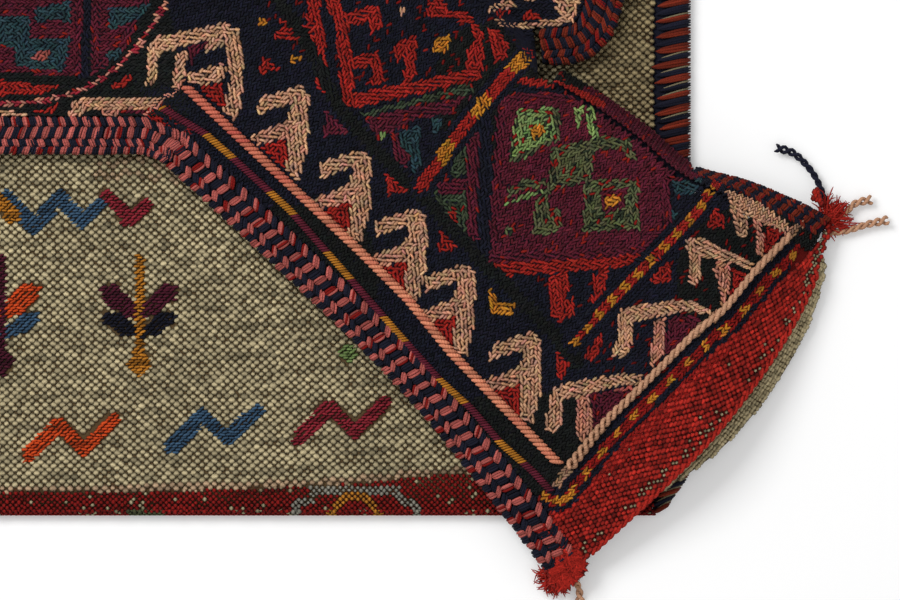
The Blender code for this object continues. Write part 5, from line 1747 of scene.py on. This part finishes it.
# %% [markdown]
# ## Cords and loose ends
#
# A plied yarn is two strands that turn round one smooth line. So are the cream cord beside the mouth band and
# the red cord at its edge. At the mouth's corners the yarns of the seams hang loose and open at their tips,
# with frayed red fibres between them.

# %% Cords and loose ends
YARN_ENDS = (
    ("cream_end_1", ((286.6, -50.1, 3.4), (296.0, -49.5, 2.4), (306.0, -46.5, 2.2), (315.0, -44.6, 2.0)),
     CREAM),
    ("cream_end_2", ((289.4, -45.6, 3.4), (296.0, -42.0, 2.4), (301.0, -37.6, 2.2), (308.0, -36.0, 2.0)),
     CREAM),
    ("navy_end", ((289.3, -42.3, 3.4), (287.6, -35.0, 2.6), (283.0, -25.0, 2.4), (275.0, -16.5, 2.0),
                  (267.0, -14.0, 2.0)), NAVY * 1.6),
    ("mouth_end", ((181.2, -196.7, 4.4), (183.5, -201.0, 2.8), (184.0, -207.0, 2.0)), CREAM),
)


def twisted_end(points, radius, pitch, count):
    """Two strands that turn round a smooth line and open a little at the tip."""
    centre_line = resampled(smooth_curve(points, 1.0), count)
    forward = unit(np.gradient(centre_line, axis=0))
    side = unit(np.cross(forward, np.array([0.0, 0.0, 1.0])))
    top = np.cross(side, forward)
    phase = 2 * math.pi * arc_lengths(centre_line) / pitch
    opening = radius * (1.0 + 1.2 * np.linspace(0.0, 1.0, count)**4)
    strands = [centre_line + (side * np.cos(phase + turn)[:, None] + top * np.sin(phase + turn)[:, None] * 0.8)
               * opening[:, None] for turn in (0.0, math.pi)]
    return np.array(strands)


def cord_on_cloth(name, line, height, radius, wool, slot):
    """A two-ply cord that lies on the cloth along a line in millimetres."""
    path = resampled(smooth_curve(line, 3.0), 260)
    strands = twisted_end(np.column_stack([path, height(path[:, 0], path[:, 1])])[::4], radius * 0.8, 7.5, 400)
    tube_piece(name, strands, np.array([radius, radius]), np.array([wool, wool * 0.88]), slot)


cord_on_cloth("mouth_cord_line", on_table(MOUTH_LINE[1:-1]), lambda x, y: neck_top(x, y) + 1.3, 0.95, CREAM,
              "mouth_guard_line")
cord_on_cloth("mouth_edge_line", mouth_front[1:-1:3], lambda x, y: front_height(x, y) + 0.8, 0.75, MOUTH_RED,
              "mouth_band")
for name, points, wool in YARN_ENDS:
    strands = twisted_end(points, 0.72, 7.0, 40)
    strands[:, :, 2] = np.maximum(strands[:, :, 2], 0.85)
    end = tube_piece(name + "_yarn", strands, np.array([0.8, 0.8]), np.array([wool, wool * 0.9]), name)
    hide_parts(name)


def tuft(name, root, heading, spread, count, length, wool, slot):
    """Frayed fibres that start close together and fan out over the table."""
    angle = heading + rng.normal(0.0, spread, (count, 1))
    reach = length * rng.uniform(0.45, 1.0, (count, 1))
    t = np.linspace(0.0, 1.0, 6)[None, :]
    bend = rng.normal(0.0, 0.35, (count, 1)) * t**2
    start = np.array(root) + rng.normal(0.0, 1.6, (count, 3)) * (1.0, 1.0, 0.4)
    x = start[:, 0:1] + reach * t * np.cos(angle + bend)
    y = start[:, 1:2] + reach * t * np.sin(angle + bend)
    z = np.maximum(start[:, 2:3] * (1.0 - 0.7 * t) + rng.uniform(0.0, 1.6, (count, 1)) * t, 0.5)
    colour = np.tile(wool, (count, 1)) * rng.normal(1.0, 0.2, (count, 1))
    tube_piece(name, np.stack([x, y, z + 0 * x], axis=-1), np.full(count, 0.3), colour, slot, sides=4)


tuft("right_corner_tuft", (288.5, -44.0, 5.5), 0.5, 0.9, 190, 11.0, MOUTH_RED, "mouth_band")
tuft("left_corner_tuft", (173.0, -194.5, 6.0), -1.6, 0.9, 220, 9.0, MOUTH_RED, "mouth_band")

# %% [markdown]
# ## The matted corner
#
# At the left corner of the mouth the red wool is worn and matted, so no rows can be seen. Long beads in an
# oval, each with a heading of its own, stand for it.

# %% Matted left corner
MAT_BEADS = 420
MAT_LOWEST = 6.0


def mat_top(x, y):
    """Surface of the matted wool, which lies on the neck and hangs over its edge."""
    return np.maximum(neck_top(x, y), MAT_LOWEST) + 0.6


a, b = rng.uniform(-1.0, 19.0, MAT_BEADS), rng.uniform(-3.8, 8.0, MAT_BEADS)
keep = ((a - 9.0) / 10.5)**2 + ((b - 2.0) / 6.2)**2 < 1.0
places = neck_place(a[keep], b[keep])
heading = rng.uniform(0.0, math.pi, len(places))
matted = np.tile(MOUTH_RED, (len(places), 1)) * rng.normal(0.9, 0.2, (len(places), 1))
direction = np.column_stack([np.cos(heading), np.sin(heading)])
laid = lay_beads(places[:, 0], places[:, 1], mat_top, matted, direction, 2.2, 0.7, 0.8)
stitch_piece("left_corner_weave", *laid, back_wool, "mouth_band")

# %% [markdown]
# ## Size of the scene
#
# The folded ground is one sheet of cloth: its flat size is the width and the whole length of the woven strip
# from mouth to mouth. The pieces that are worked into it go with it. The last step prints the size of the
# scene.

low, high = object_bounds()
print("size", [round((h - l) * 1000, 1) for l, h in zip(low, high)], "mm")
